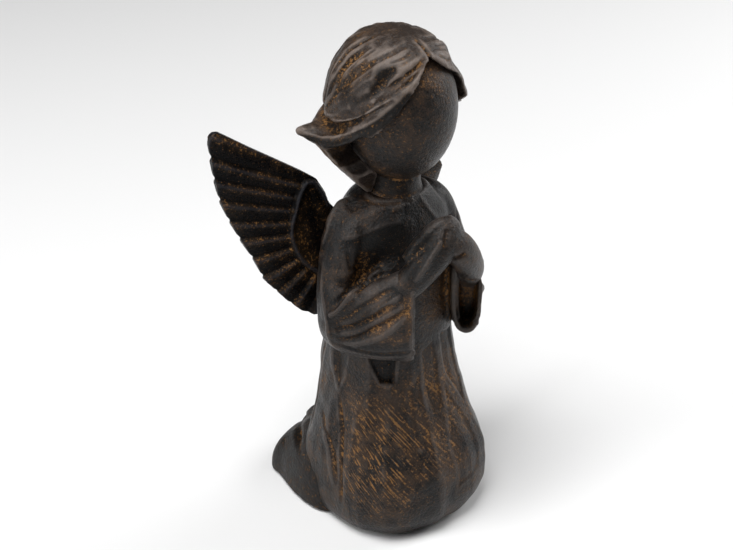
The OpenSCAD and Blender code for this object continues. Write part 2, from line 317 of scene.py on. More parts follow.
class Carver:
    """Moves the points of a mesh as a modelling tool would and records the paint, the painted shade and the
    painted sheen.
    """

    def __init__(self, thing: bpy.types.Object) -> None:
        """Read the mesh of an object whose skin is closed.

        Args:
            thing: The object.
        """
        self.thing = thing
        mesh = thing.data
        self.count = len(mesh.vertices)
        self.co = np.empty(self.count * 3)
        mesh.vertices.foreach_get("co", self.co)
        self.co = self.co.reshape(-1, 3) / MM
        edges = np.empty(len(mesh.edges) * 2, dtype=np.int64)
        mesh.edges.foreach_get("vertices", edges)
        self.edges = edges.reshape(-1, 2)
        self.degree = np.bincount(self.edges.ravel(), minlength=self.count).clip(1)
        self.wash = np.zeros(self.count)
        # The next two layers hold painted shade and the mask of a painted sheen.
        self.deep = np.zeros(self.count)
        self.worn = np.zeros(self.count)
        self.refresh()

    def refresh(self) -> None:
        """Write the points back and read the normals again."""
        mesh = self.thing.data
        mesh.vertices.foreach_set("co", (self.co * MM).ravel())
        mesh.update()
        self.normal = np.empty(self.count * 3)
        mesh.vertices.foreach_get("normal", self.normal)
        self.normal = self.normal.reshape(-1, 3)
        bm = bmesh.new()
        bm.from_mesh(mesh)
        self.tree = BVHTree.FromBMesh(bm)
        bm.free()

    def turns(self) -> np.ndarray:
        """Give the turn of every point in degrees."""
        return np.degrees(np.arctan2(-self.co[:, 0], -self.co[:, 1]))

    def spread(self, values: np.ndarray, rounds: int, share: float = 0.5) -> np.ndarray:
        """Smooth values over the surface.

        Args:
            values: One value or row for each point.
            rounds: Number of passes.
            share: Part taken from the neighbours in a pass.

        Returns:
            The smoothed values.
        """
        out = values.reshape(self.count, -1).astype(float)
        a, b = self.edges[:, 0], self.edges[:, 1]
        for _ in range(rounds):
            near = np.empty_like(out)
            for k in range(out.shape[1]):
                total = np.bincount(a, out[b, k], self.count)
                near[:, k] = (total + np.bincount(b, out[a, k], self.count)) / self.degree
            out += share * (near - out)
        return out.reshape(values.shape)

    def relax(self, rounds: int) -> None:
        """Smooth the surface without shrinking it much.

        Args:
            rounds: Number of passes.
        """
        for _ in range(rounds):
            self.co = self.spread(self.co, 1, RELAX_IN)
            self.co = self.spread(self.co, 1, RELAX_OUT)
        self.refresh()

    def drop(self, turn: float, height: float) -> np.ndarray | None:
        """Find the outermost point of the surface at a turn and a height.

        Args:
            turn: Turn in degrees.
            height: Height in millimetres.

        Returns:
            The point in millimetres, or None where the ray misses.
        """
        out = Vector((-math.sin(math.radians(turn)), -math.cos(math.radians(turn)), 0))
        start = out * FAR_OUT + Vector((0, 0, height * MM))
        place = self.tree.ray_cast(start, -out)[0]
        return None if place is None else np.array(place) / MM

    def line(self, path: tuple) -> np.ndarray:
        """Lay a (turn, height) path on the surface.

        Args:
            path: Turns in degrees and heights in millimetres.

        Returns:
            The points that were found, in millimetres.
        """
        found = [self.drop(turn, height) for turn, height in eased(path, STROKE_STEPS)]
        return np.array([place for place in found if place is not None])

    def mark(self, stroke: Stroke, places: np.ndarray, flip: float = 1.0) -> None:
        """Apply a stroke along a line in space.

        Args:
            stroke: The stroke.
            places: Points of the line in millimetres.
            flip: -1 for a mirrored stroke, whose lap rises on its other side.
        """
        if len(places) < 2:
            return
        margin = 3.0 * max(stroke.width, stroke.reach if stroke.cut is Cut.LAP else 0)
        low, high = places.min(0) - margin, places.max(0) + margin
        near = np.flatnonzero(((self.co > low) & (self.co < high)).all(1))
        if not len(near):
            return
        here, aside = self.co[near], self.normal[near]
        best = np.full(len(near), np.inf)
        signed, along = np.zeros(len(near)), np.zeros(len(near))
        for k, (a, b) in enumerate(zip(places, places[1:])):
            run = b - a
            size = max(float(run @ run), 1e-9)
            t = np.clip((here - a) @ run / size, 0, 1)
            gap = here - a - t[:, None] * run
            far = np.linalg.norm(gap, axis=1)
            closer = far < best
            best[closer] = far[closer]
            left = np.cross(aside[closer], run / math.sqrt(size))
            signed[closer] = np.einsum("ij,ij->i", gap[closer], left) * flip
            along[closer] = (k + t[closer]) / (len(places) - 1)
        fade = np.ones(len(near))
        if stroke.taper > 0:
            fade = np.clip(np.minimum(along, 1 - along) / stroke.taper, 0, 1) ** TAPER_POWER
        bell = np.exp(-((best / stroke.width) ** 2))
        if stroke.cut is Cut.LAP:
            inside = np.exp(-np.clip(signed, 0, None) / stroke.reach)
            inside *= np.exp(-((best / (LAP_FADE * stroke.reach)) ** 2))
            rise = np.where(signed > 0, inside, np.exp(-((signed / stroke.width) ** 2)))
            rise[best > LAP_END * stroke.reach] = 0
            self.co[near] += aside * (stroke.depth * rise * fade)[:, None]
            bell = np.exp(-(((signed + stroke.width) / (1.6 * stroke.width)) ** 2))
            bell *= best < LAP_PAINT_END
        else:
            sign = 1 if stroke.cut is Cut.RIDGE else -1
            self.co[near] += aside * (sign * stroke.depth * bell * fade)[:, None]
        self.wash[near] += stroke.wash * bell * fade

    def carve(self, strokes: tuple) -> None:
        """Apply strokes one after another, on both sides where they say so.

        Args:
            strokes: The strokes.
        """
        for stroke in strokes:
            self.mark(stroke, self.line(stroke.path))
            if stroke.both:
                other = tuple((-turn, height) for turn, height in stroke.path)
                self.mark(stroke, self.line(other), -1.0)
        self.refresh()

    def patches(self, spots: tuple) -> np.ndarray:
        """Weigh the points by round patches on both sides.

        Args:
            spots: Turn, height, radius and amount of each patch.

        Returns:
            The sum of the patches at each point.
        """
        total = np.zeros(self.count)
        for turn, height, radius, amount in spots:
            for sign in (1, -1):
                place = self.drop(sign * turn, height)
                if place is not None:
                    far = np.linalg.norm(self.co - place, axis=1)
                    total += amount * np.exp(-((far / radius) ** 2))
        return total

    def melt(self, weight: np.ndarray, rounds: int) -> None:
        """Smooth the surface where a weight says so.

        Args:
            weight: Share from 0 to 1 for each point.
            rounds: Number of passes.
        """
        share = np.clip(weight, 0, 1)[:, None]
        self.co += share * (self.spread(self.co, rounds) - self.co)
        self.refresh()

    def facet(self, corners: tuple, depth: float, soft: float) -> np.ndarray:
        """Press a flat facet into the surface as a knife would.

        Args:
            corners: Corners (turn, height) of a convex outline, anticlockwise seen from outside.
            depth: Depth of the facet in millimetres.
            soft: Width of its rim in millimetres.

        Returns:
            How far inside the outline each point is, from 0 at the rim to 1.
        """
        places = np.column_stack([-self.turns() * ARC, self.co[:, 2]])
        loop = [np.array((-turn * ARC, height)) for turn, height in corners]
        inside = np.full(self.count, np.inf)
        for a, b in zip(loop, loop[1:] + loop[:1]):
            run = (b - a) / np.linalg.norm(b - a)
            gap = places - a
            inside = np.minimum(inside, run[0] * gap[:, 1] - run[1] * gap[:, 0])
        share = np.clip(inside / soft, 0, 1)
        share = share * share * (3 - 2 * share)
        self.co -= self.normal * (depth * share)[:, None]
        self.refresh()
        return share

    def beside(self, paths: tuple, radius: float) -> np.ndarray:
        """Weigh the points by how near they are to paths on the surface.

        Args:
            paths: Paths of (turn, height) pairs.
            radius: Distance over which the weight fades.

        Returns:
            The weight of each point, 1 on a path.
        """
        best = np.full(self.count, np.inf)
        for path in paths:
            for place in self.line(path):
                best = np.minimum(best, np.linalg.norm(self.co - place, axis=1))
        return np.exp(-((best / radius) ** 2))

    def dab(self, spots: tuple) -> None:
        """Add paint and take painted shade away round places in space.

        Args:
            spots: X, y, z, radius and amount of each dab.
        """
        for x, y, z, radius, amount in spots:
            far = np.linalg.norm(self.co - np.array((x, y, z)), axis=1)
            self.wash += amount * np.exp(-((far / radius) ** 2))
            self.deep -= amount * np.exp(-((far / radius) ** 2))

    def push(self, place: tuple, radius: float, move: tuple) -> None:
        """Pull the surface round a place along a vector."""
        far = np.linalg.norm(self.co - np.array(place), axis=1)
        self.co += np.exp(-((far / radius) ** 2))[:, None] * np.array(move)

    def plane_cuts(self, cuts: int, depth: float, seed: int, low: float, high: float) -> None:
        """Flatten the skirt into long upright knife facets.

        Args:
            cuts: Number of facets round the figure in each of the rows.
            depth: Depth of the facets.
            seed: Seed of the spacing.
            low: Lowest height.
            high: Highest height.
        """
        rng = np.random.default_rng(seed)
        run_out = 14
        turn, height = self.turns(), self.co[:, 2]
        for first, last in FACET_ROWS:
            bottom = low + first * (high - low)
            top = low + last * (high - low)
            starts = (np.arange(cuts) + rng.uniform(-0.3, 0.3, cuts)) * 360 / cuts
            middle = 0.5 * (bottom + top) + rng.uniform(-8, 8, cuts)
            ends = np.clip((top - height) / run_out, 0, 1)
            ends *= np.clip((height - bottom + 8) / run_out, 0, 1)
            self.co += self.normal * (0.36 * depth * ends)[:, None]
            for start, centre in zip(starts, middle):
                off = (turn - start + 180) % 360 - 180
                wide = 360 / cuts * 0.5
                bowl = np.clip(1 - (off / wide) ** 2, 0, 1)
                tall = np.clip(1 - ((height - centre) / (0.62 * (top - bottom))) ** 2, 0, 1)
                amount = depth * rng.uniform(0.5, 1.2) * bowl * tall
                self.co -= self.normal * amount[:, None]
        self.refresh()

    def roughen(self, amount: float, size: float, seed: int) -> None:
        """Give the skin the slight unevenness of hand modelling.

        Args:
            amount: Typical height in millimetres.
            size: Wavelength in millimetres.
            seed: Seed of the waves.
        """
        rng = np.random.default_rng(seed)
        count = 28
        waves = rng.normal(size=(count, 3))
        waves /= np.linalg.norm(waves, axis=1, keepdims=True)
        waves *= 2 * math.pi / (size * rng.uniform(0.7, 1.5, (count, 1)))
        lift = np.cos(self.co @ waves.T + rng.uniform(0, 6.28, count)).sum(1)
        lift *= math.sqrt(2 / count)
        self.co += self.normal * (amount * lift)[:, None]
        self.refresh()

    def finish(self, cavity: float = 1.0, painted_shade: float = 0.35) -> None:
        """Write the points and the paint, with more paint and painted shade in every hollow.

        Args:
            cavity: How much paint the hollows collect.
            painted_shade: How much painted shade the hollows get.
        """
        self.refresh()
        hollow = np.zeros(self.count)
        for rounds, gain in HOLLOW_SCALES:
            drift = self.spread(self.co, rounds) - self.co
            depth = np.einsum("ij,ij->i", drift, self.normal)
            hollow += gain * self.spread(depth, 2)
        drift = self.spread(self.co, BROAD_ROUNDS) - self.co
        broad = np.einsum("ij,ij->i", drift, self.normal)
        # Painted shade: broad hollows and small hollows darken.
        dark = 0.55 * np.clip(broad - 0.2, 0, 1.6) + painted_shade * hollow.clip(0, 1)
        layers = {
            "deep": np.clip(self.deep + dark, 0, 1),
            "wash": np.clip(self.wash + cavity * np.clip(hollow, 0, 0.8), 0, MOST_WASH),
            "worn": np.clip(self.worn - hollow, 0, 1),
        }
        for name, values in layers.items():
            layer = self.thing.data.attributes.new(name, "FLOAT", "POINT")
            layer.data.foreach_set("value", values.astype(np.float32))


def split(master: bpy.types.Object, owners: np.ndarray, names: list[str]) -> list:
    """Part a sculpted casting into closed pieces along the owners of its points.

    Args:
        master: The sculpted object.
        owners: Index of the owning piece for each point.
        names: Names of the pieces.

    Returns:
        The objects, in the order of the names.
    """
    made = []
    lip = SEAM_WALL * MM
    for index, name in enumerate(names):
        bm = bmesh.new()
        bm.from_mesh(master.data)
        bm.verts.ensure_lookup_table()
        own = [owners[face.verts[0].index] != index for face in bm.faces]
        drop = [face for face, other in zip(bm.faces, own) if other]
        bmesh.ops.delete(bm, geom=drop, context="FACES")
        rim = [edge for edge in bm.edges if edge.is_boundary]
        inward = {vert: vert.normal.copy() for edge in rim for vert in edge.verts}
        for edge in rim:
            edge.smooth = False
        grown = bmesh.ops.extrude_edge_only(bm, edges=rim)["geom"]
        new = [item for item in grown if isinstance(item, bmesh.types.BMVert)]
        for vert in new:
            ends = [edge.other_vert(vert) for edge in vert.link_edges]
            source = next(end for end in ends if end in inward)
            vert.co = source.co - inward[source] * lip
        inner = [edge for edge in bm.edges if edge.is_boundary]
        bmesh.ops.holes_fill(bm, edges=inner, sides=0)
        bmesh.ops.triangulate(bm, faces=[face for face in bm.faces if len(face.verts) > 4])
        bmesh.ops.recalc_face_normals(bm, faces=bm.faces)
        made.append(object_from(bm, name))
    bpy.data.objects.remove(master)
    return made


# ---------------------------------------------------------------- finishes


def linear(red: int, green: int, blue: int) -> tuple[float, float, float, float]:
    """Turn screen values from 0 to 255 into a scene colour.

    Args:
        red: Red.
        green: Green.
        blue: Blue.

    Returns:
        Linear red, green, blue and alpha.
    """
    parts = [value / 255 for value in (red, green, blue)]
    light = [v / 12.92 if v < 0.04045 else ((v + 0.055) / 1.055) ** 2.4 for v in parts]
    return (*light, 1.0)


Feed = bpy.types.NodeSocket | float | tuple


class Graph:
    """Short calls for building shader node trees."""

    def __init__(self, tree: bpy.types.NodeTree) -> None:
        """Wrap a node tree."""
        self.tree = tree

    def node(self, kind: str, **settings: object) -> bpy.types.Node:
        """Add a node and set its properties.

        Args:
            kind: Type name of the node.
            **settings: Its properties.

        Returns:
            The node.
        """
        made = self.tree.nodes.new(kind)
        for key, value in settings.items():
            setattr(made, key, value)
        return made

    def feed(self, socket: bpy.types.NodeSocket, value: Feed) -> None:
        """Link an output to a socket, or set the socket to a constant.

        Args:
            socket: Input socket.
            value: Output socket or constant.
        """
        if isinstance(value, bpy.types.NodeSocket):
            self.tree.links.new(value, socket)
        else:
            socket.default_value = value

    def math(self, operation: str, a: Feed, b: Feed = 0.0, c: Feed = 0.0) -> bpy.types.NodeSocket:
        """Add a math node and give its output.

        Args:
            operation: Name of the operation.
            a: First input.
            b: Second input.
            c: Third input.

        Returns:
            The result.
        """
        made = self.node("ShaderNodeMath", operation=operation)
        for socket, value in zip(made.inputs, (a, b, c)):
            self.feed(socket, value)
        return made.outputs[0]

    def ramp(self, value: Feed, low: float, high: float) -> bpy.types.NodeSocket:
        """Map a range to 0..1 with soft ends.

        Args:
            value: Value to map.
            low: Value that gives 0.
            high: Value that gives 1.

        Returns:
            The mapped value.
        """
        made = self.node("ShaderNodeMapRange", interpolation_type="SMOOTHSTEP")
        for name, item in (("Value", value), ("From Min", low), ("From Max", high)):
            self.feed(made.inputs[name], item)
        return made.outputs["Result"]

    def mix(self, share: Feed, first: Feed, second: Feed) -> bpy.types.NodeSocket:
        """Mix two colours.

        Args:
            share: Share of the second colour.
            first: First colour.
            second: Second colour.

        Returns:
            The mixed colour.
        """
        made = self.node("ShaderNodeMix", data_type="RGBA")
        self.feed(made.inputs["Factor"], share)
        self.feed([s for s in made.inputs if s.name == "A" and s.type == "RGBA"][0], first)
        self.feed([s for s in made.inputs if s.name == "B" and s.type == "RGBA"][0], second)
        return [s for s in made.outputs if s.type == "RGBA"][0]

    def noise(
        self, place: Feed, scale: float, detail: float = 3.0, rough: float = 0.6
    ) -> bpy.types.NodeSocket:
        """Add a noise texture and give its value.

        Args:
            place: Place that it is read at.
            scale: Waves for each metre.
            detail: Number of finer layers.
            rough: Strength of the finer layers.

        Returns:
            The value from 0 to 1.
        """
        made = self.node("ShaderNodeTexNoise")
        self.feed(made.inputs["Vector"], place)
        self.feed(made.inputs["Scale"], scale)
        self.feed(made.inputs["Detail"], detail)
        self.feed(made.inputs["Roughness"], rough)
        return made.outputs[0]

    def stretched(self, place: Feed, axes: tuple, scales: tuple) -> bpy.types.NodeSocket:
        """Give a place measured along three axes, each with its own scale.

        Args:
            place: Place in the piece.
            axes: Three directions.
            scales: Scale along each direction.

        Returns:
            The scaled place.
        """
        parts = []
        for axis, scale in zip(axes, scales):
            dot = self.node("ShaderNodeVectorMath", operation="DOT_PRODUCT")
            self.feed(dot.inputs[0], place)
            self.feed(dot.inputs[1], tuple(Vector(axis).normalized()))
            parts.append(self.math("MULTIPLY", dot.outputs["Value"], scale))
        made = self.node("ShaderNodeCombineXYZ")
        for socket, value in zip(made.inputs, parts):
            self.feed(socket, value)
        return made.outputs[0]


def new_group(name: str, inputs: tuple, outputs: tuple) -> tuple[bpy.types.NodeTree, Graph]:
    """Make a shader group with its sockets.

    Args:
        name: Name of the group.
        inputs: Socket names and kinds.
        outputs: Socket names and kinds.

    Returns:
        The group and its graph.
    """
    tree = bpy.data.node_groups.new(name, "ShaderNodeTree")
    for way, sockets in (("INPUT", inputs), ("OUTPUT", outputs)):
        for title, kind in sockets:
            tree.interface.new_socket(title, in_out=way, socket_type=kind)
    return tree, Graph(tree)


# Directions along, across and through the scratches of the skirt.
SCRATCH_AXES = ((0.492, -0.413, -0.766), (0.587, -0.493, 0.643), (0.643, 0.766, 0.0))


def antique_group() -> bpy.types.NodeTree:
    """Build the shared effect of dark bronze paint under a gold wash that is partly wiped away, with painted
    shade in the hollows and a painted sheen.

    Returns:
        The group.
    """
    tree, g = new_group(
        "antique_wash",
        (
            ("Place", "NodeSocketVector"),
            ("Wash", "NodeSocketFloat"),
            ("Worn", "NodeSocketFloat"),
            ("Hatch", "NodeSocketFloat"),
            ("Deep", "NodeSocketFloat"),
            ("Base", "NodeSocketColor"),
            ("Brown", "NodeSocketColor"),
            ("Gold", "NodeSocketColor"),
            ("Rubbed", "NodeSocketColor"),
        ),
        (
            ("Color", "NodeSocketColor"),
            ("Roughness", "NodeSocketFloat"),
            ("Height", "NodeSocketFloat"),
        ),
    )
    pin = g.node("NodeGroupInput").outputs
    out = g.node("NodeGroupOutput")
    cloud = g.noise(pin["Place"], 38.0, 3.0, 0.55)
    patch = g.noise(pin["Place"], 130.0, 4.0, 0.65)
    speck = g.noise(pin["Place"], 620.0, 3.0, 0.7)
    dust = g.noise(pin["Place"], 1500.0, 2.0, 0.7)
    line = g.stretched(pin["Place"], SCRATCH_AXES, (48.0, 1150.0, 330.0))
    hatch = g.noise(line, 1.0, 1.6, 0.5)
    uneven = g.math("MULTIPLY_ADD", cloud, 1.6, g.math("MULTIPLY", patch, 1.8))
    uneven = g.math("SUBTRACT", uneven, 1.7)
    grain = g.math("MULTIPLY_ADD", speck, 0.65, g.math("MULTIPLY", dust, 0.35))
    grain = g.math("SUBTRACT", grain, 0.5)
    brown = g.math("ADD", pin["Wash"], g.math("MULTIPLY", uneven, 1.5))
    brown = g.ramp(g.math("MULTIPLY_ADD", grain, 2.6, brown), -0.15, 1.0)
    ink = g.math("MULTIPLY", g.math("SUBTRACT", hatch, 0.52), pin["Hatch"])
    gold = g.math("ADD", g.math("MULTIPLY", pin["Wash"], 0.52), g.math("MULTIPLY", uneven, 0.55))
    gold = g.math("MULTIPLY_ADD", grain, 5.4, gold)
    gold = g.math("MULTIPLY", g.ramp(g.math("MULTIPLY_ADD", ink, 8.0, gold), 0.50, 1.25), 0.9)
    shade = g.mix(brown, pin["Base"], pin["Brown"])
    # Painted shade: the deep layer, made uneven, darkens the colour towards near black.
    painted_shade = g.ramp(g.math("MULTIPLY_ADD", uneven, 0.3, pin["Deep"]), 0.0, 0.9)
    shade = g.mix(g.math("MULTIPLY", painted_shade, 0.9), shade, linear(3, 3, 3))
    shade = g.mix(gold, shade, pin["Gold"])
    # Painted sheen: the sheen mask lightens the colour, less where there is painted shade.
    sheen_share = g.ramp(g.math("MULTIPLY", pin["Worn"], g.math("ADD", patch, 0.45)), 0.12, 0.75)
    sheen_share = g.math("MULTIPLY", sheen_share, g.math("MULTIPLY_ADD", painted_shade, -0.6, 0.6))
    shade = g.mix(sheen_share, shade, pin["Rubbed"])
    fleck = g.ramp(dust, 0.62, 0.74)
    shade = g.mix(g.math("MULTIPLY", fleck, 0.4), shade, pin["Gold"])
    rough = g.math("MULTIPLY_ADD", brown, 0.14, 0.30)
    rough = g.math("MULTIPLY_ADD", grain, 0.3, rough)
    rough = g.math("MULTIPLY_ADD", painted_shade, 0.12, rough)
    lumps = g.math("MULTIPLY_ADD", patch, 0.0009, g.math("MULTIPLY", speck, 0.0010))
    cuts = g.math("MULTIPLY", g.math("MULTIPLY", hatch, pin["Hatch"]), -0.0016)
    g.feed(out.inputs["Color"], shade)
    g.feed(out.inputs["Roughness"], rough)
    g.feed(out.inputs["Height"], g.math("ADD", lumps, cuts))
    return tree


@dataclass(frozen=True)
class Resin:
    """A painted resin finish."""

    name: str
    base: tuple
    brown: tuple
    gold: tuple
    # Colour of the painted sheen.
    rubbed: tuple
    coat: float = 0.03
    specular: float = 0.20

    def build(self, group: bpy.types.NodeTree) -> bpy.types.Material:
        """Make the material.

        Args:
            group: The shared antique wash.

        Returns:
            The material.
        """
        made = bpy.data.materials.new(self.name)
        made.use_nodes = True
        g = Graph(made.node_tree)
        skin = made.node_tree.nodes["Principled BSDF"]
        wash = g.node("ShaderNodeGroup", node_tree=group)
        g.feed(wash.inputs["Place"], g.node("ShaderNodeTexCoord").outputs["Object"])
        for socket in ("Wash", "Worn", "Hatch", "Deep"):
            layer = g.node("ShaderNodeAttribute", attribute_name=socket.lower())
            g.feed(wash.inputs[socket], layer.outputs["Fac"])
        for socket in ("Base", "Brown", "Gold", "Rubbed"):
            g.feed(wash.inputs[socket], getattr(self, socket.lower()))
        g.feed(skin.inputs["Base Color"], wash.outputs["Color"])
        g.feed(skin.inputs["Roughness"], wash.outputs["Roughness"])
        bump = g.node("ShaderNodeBump")
        g.feed(bump.inputs["Height"], wash.outputs["Height"])
        g.feed(bump.inputs["Strength"], 0.8)
        g.feed(bump.inputs["Distance"], 1.0)
        g.feed(skin.inputs["Normal"], bump.outputs["Normal"])
        g.feed(skin.inputs["Specular IOR Level"], self.specular)
        g.feed(skin.inputs["Coat Weight"], self.coat)
        g.feed(skin.inputs["Coat Roughness"], 0.28)
        return made


def plain(name: str, colour: tuple, rough: float, metal: float, grain: tuple) -> bpy.types.Material:
    """Make a simple material with a grain.

    Args:
        name: Name of the material.
        colour: Main colour.
        rough: Roughness.
        metal: Metallic share.
        grain: Scales of the grain along X, Y and Z.

    Returns:
        The material.
    """
    made = bpy.data.materials.new(name)
    made.use_nodes = True
    g = Graph(made.node_tree)
    skin = made.node_tree.nodes["Principled BSDF"]
    place = g.node("ShaderNodeTexCoord").outputs["Object"]
    axes = ((1, 0, 0), (0, 1, 0), (0, 0, 1))
    value = g.noise(g.stretched(place, axes, grain), 1.0)
    darker = tuple(part * 0.45 for part in colour[:3]) + (1.0,)
    g.feed(skin.inputs["Base Color"], g.mix(g.ramp(value, 0.3, 0.7), darker, colour))
    g.feed(skin.inputs["Roughness"], rough)
    g.feed(skin.inputs["Metallic"], metal)
    return made


@dataclass
class Palette:
    """All the materials of the figurine."""

    robe: bpy.types.Material = field(init=False)
    hair: bpy.types.Material = field(init=False)
    skin: bpy.types.Material = field(init=False)
    wing: bpy.types.Material = field(init=False)
    felt: bpy.types.Material = field(init=False)
    wood: bpy.types.Material = field(init=False)
    steel: bpy.types.Material = field(init=False)
    plug: bpy.types.Material = field(init=False)

    def __post_init__(self) -> None:
        """Make the materials."""
        group = antique_group()
        # The last colour given to each paint is its painted sheen.
        brown, gold = linear(54, 41, 31), linear(130, 92, 50)
        painted_sheen_grey = linear(78, 71, 67)
        lock, lock_brown, lock_sheen = linear(44, 37, 33), linear(70, 55, 43), linear(124, 112, 104)
        plume, plume_brown, plume_sheen = linear(3, 3, 4), linear(30, 23, 16), linear(44, 44, 48)
        robe = Resin("robe_paint", linear(12, 12, 13), brown, gold, painted_sheen_grey)
        hair = Resin("hair_paint", lock, lock_brown, gold, lock_sheen)
        skin = Resin("skin_paint", linear(20, 18, 17), brown, gold, painted_sheen_grey)
        wing = Resin("wing_paint", plume, plume_brown, gold, plume_sheen, coat=0.0, specular=0.09)
        self.robe, self.hair = robe.build(group), hair.build(group)
        self.skin, self.wing = skin.build(group), wing.build(group)
        self.felt = plain("felt_fibre", linear(24, 26, 24), 0.95, 0.0, (900, 900, 900))
        self.wood = plain("birch_grain", linear(196, 160, 112), 0.6, 0.0, (500, 500, 60))
        self.steel = plain("drawn_steel", linear(150, 150, 155), 0.35, 1.0, (200, 900, 900))
        self.plug = plain("cast_plug", linear(60, 52, 46), 0.6, 0.0, (400, 400, 400))


# ---------------------------------------------------------------- pieces


def dress(thing: bpy.types.Object, paint: bpy.types.Material, nodes: tuple) -> None:
    """Give a piece its paint, hang it on the root body and hide the CAD nodes that it replaces.

    Args:
        thing: The piece.
        paint: Its material.
        nodes: CAD nodes that it replaces.
    """
    thing.data.materials.clear()
    thing.data.materials.append(paint)
    thing.data.shade_smooth()
    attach(thing, "root")
    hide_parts(*nodes)
    log.info("%s: %d faces, paint %s", thing.name, len(thing.data.polygons), paint.name)


def prism(name: str, places: list, run: tuple | Vector) -> bpy.types.Object:
    """Make a prism from an outline.

    Args:
        name: Name of the object.
        places: Corners of the outline in millimetres.
        run: Vector of the extrusion in millimetres.

    Returns:
        The object.
    """
    bm = bmesh.new()
    verts = [bm.verts.new(Vector(place) * MM) for place in places]
    face = bmesh.ops.contextual_create(bm, geom=verts)["faces"]
    grown = bmesh.ops.extrude_face_region(bm, geom=face)["geom"]
    tips = [item for item in grown if isinstance(item, bmesh.types.BMVert)]
    bmesh.ops.translate(bm, verts=tips, vec=Vector(run) * MM)
    bmesh.ops.recalc_face_normals(bm, faces=bm.faces)
    return object_from(bm, name)


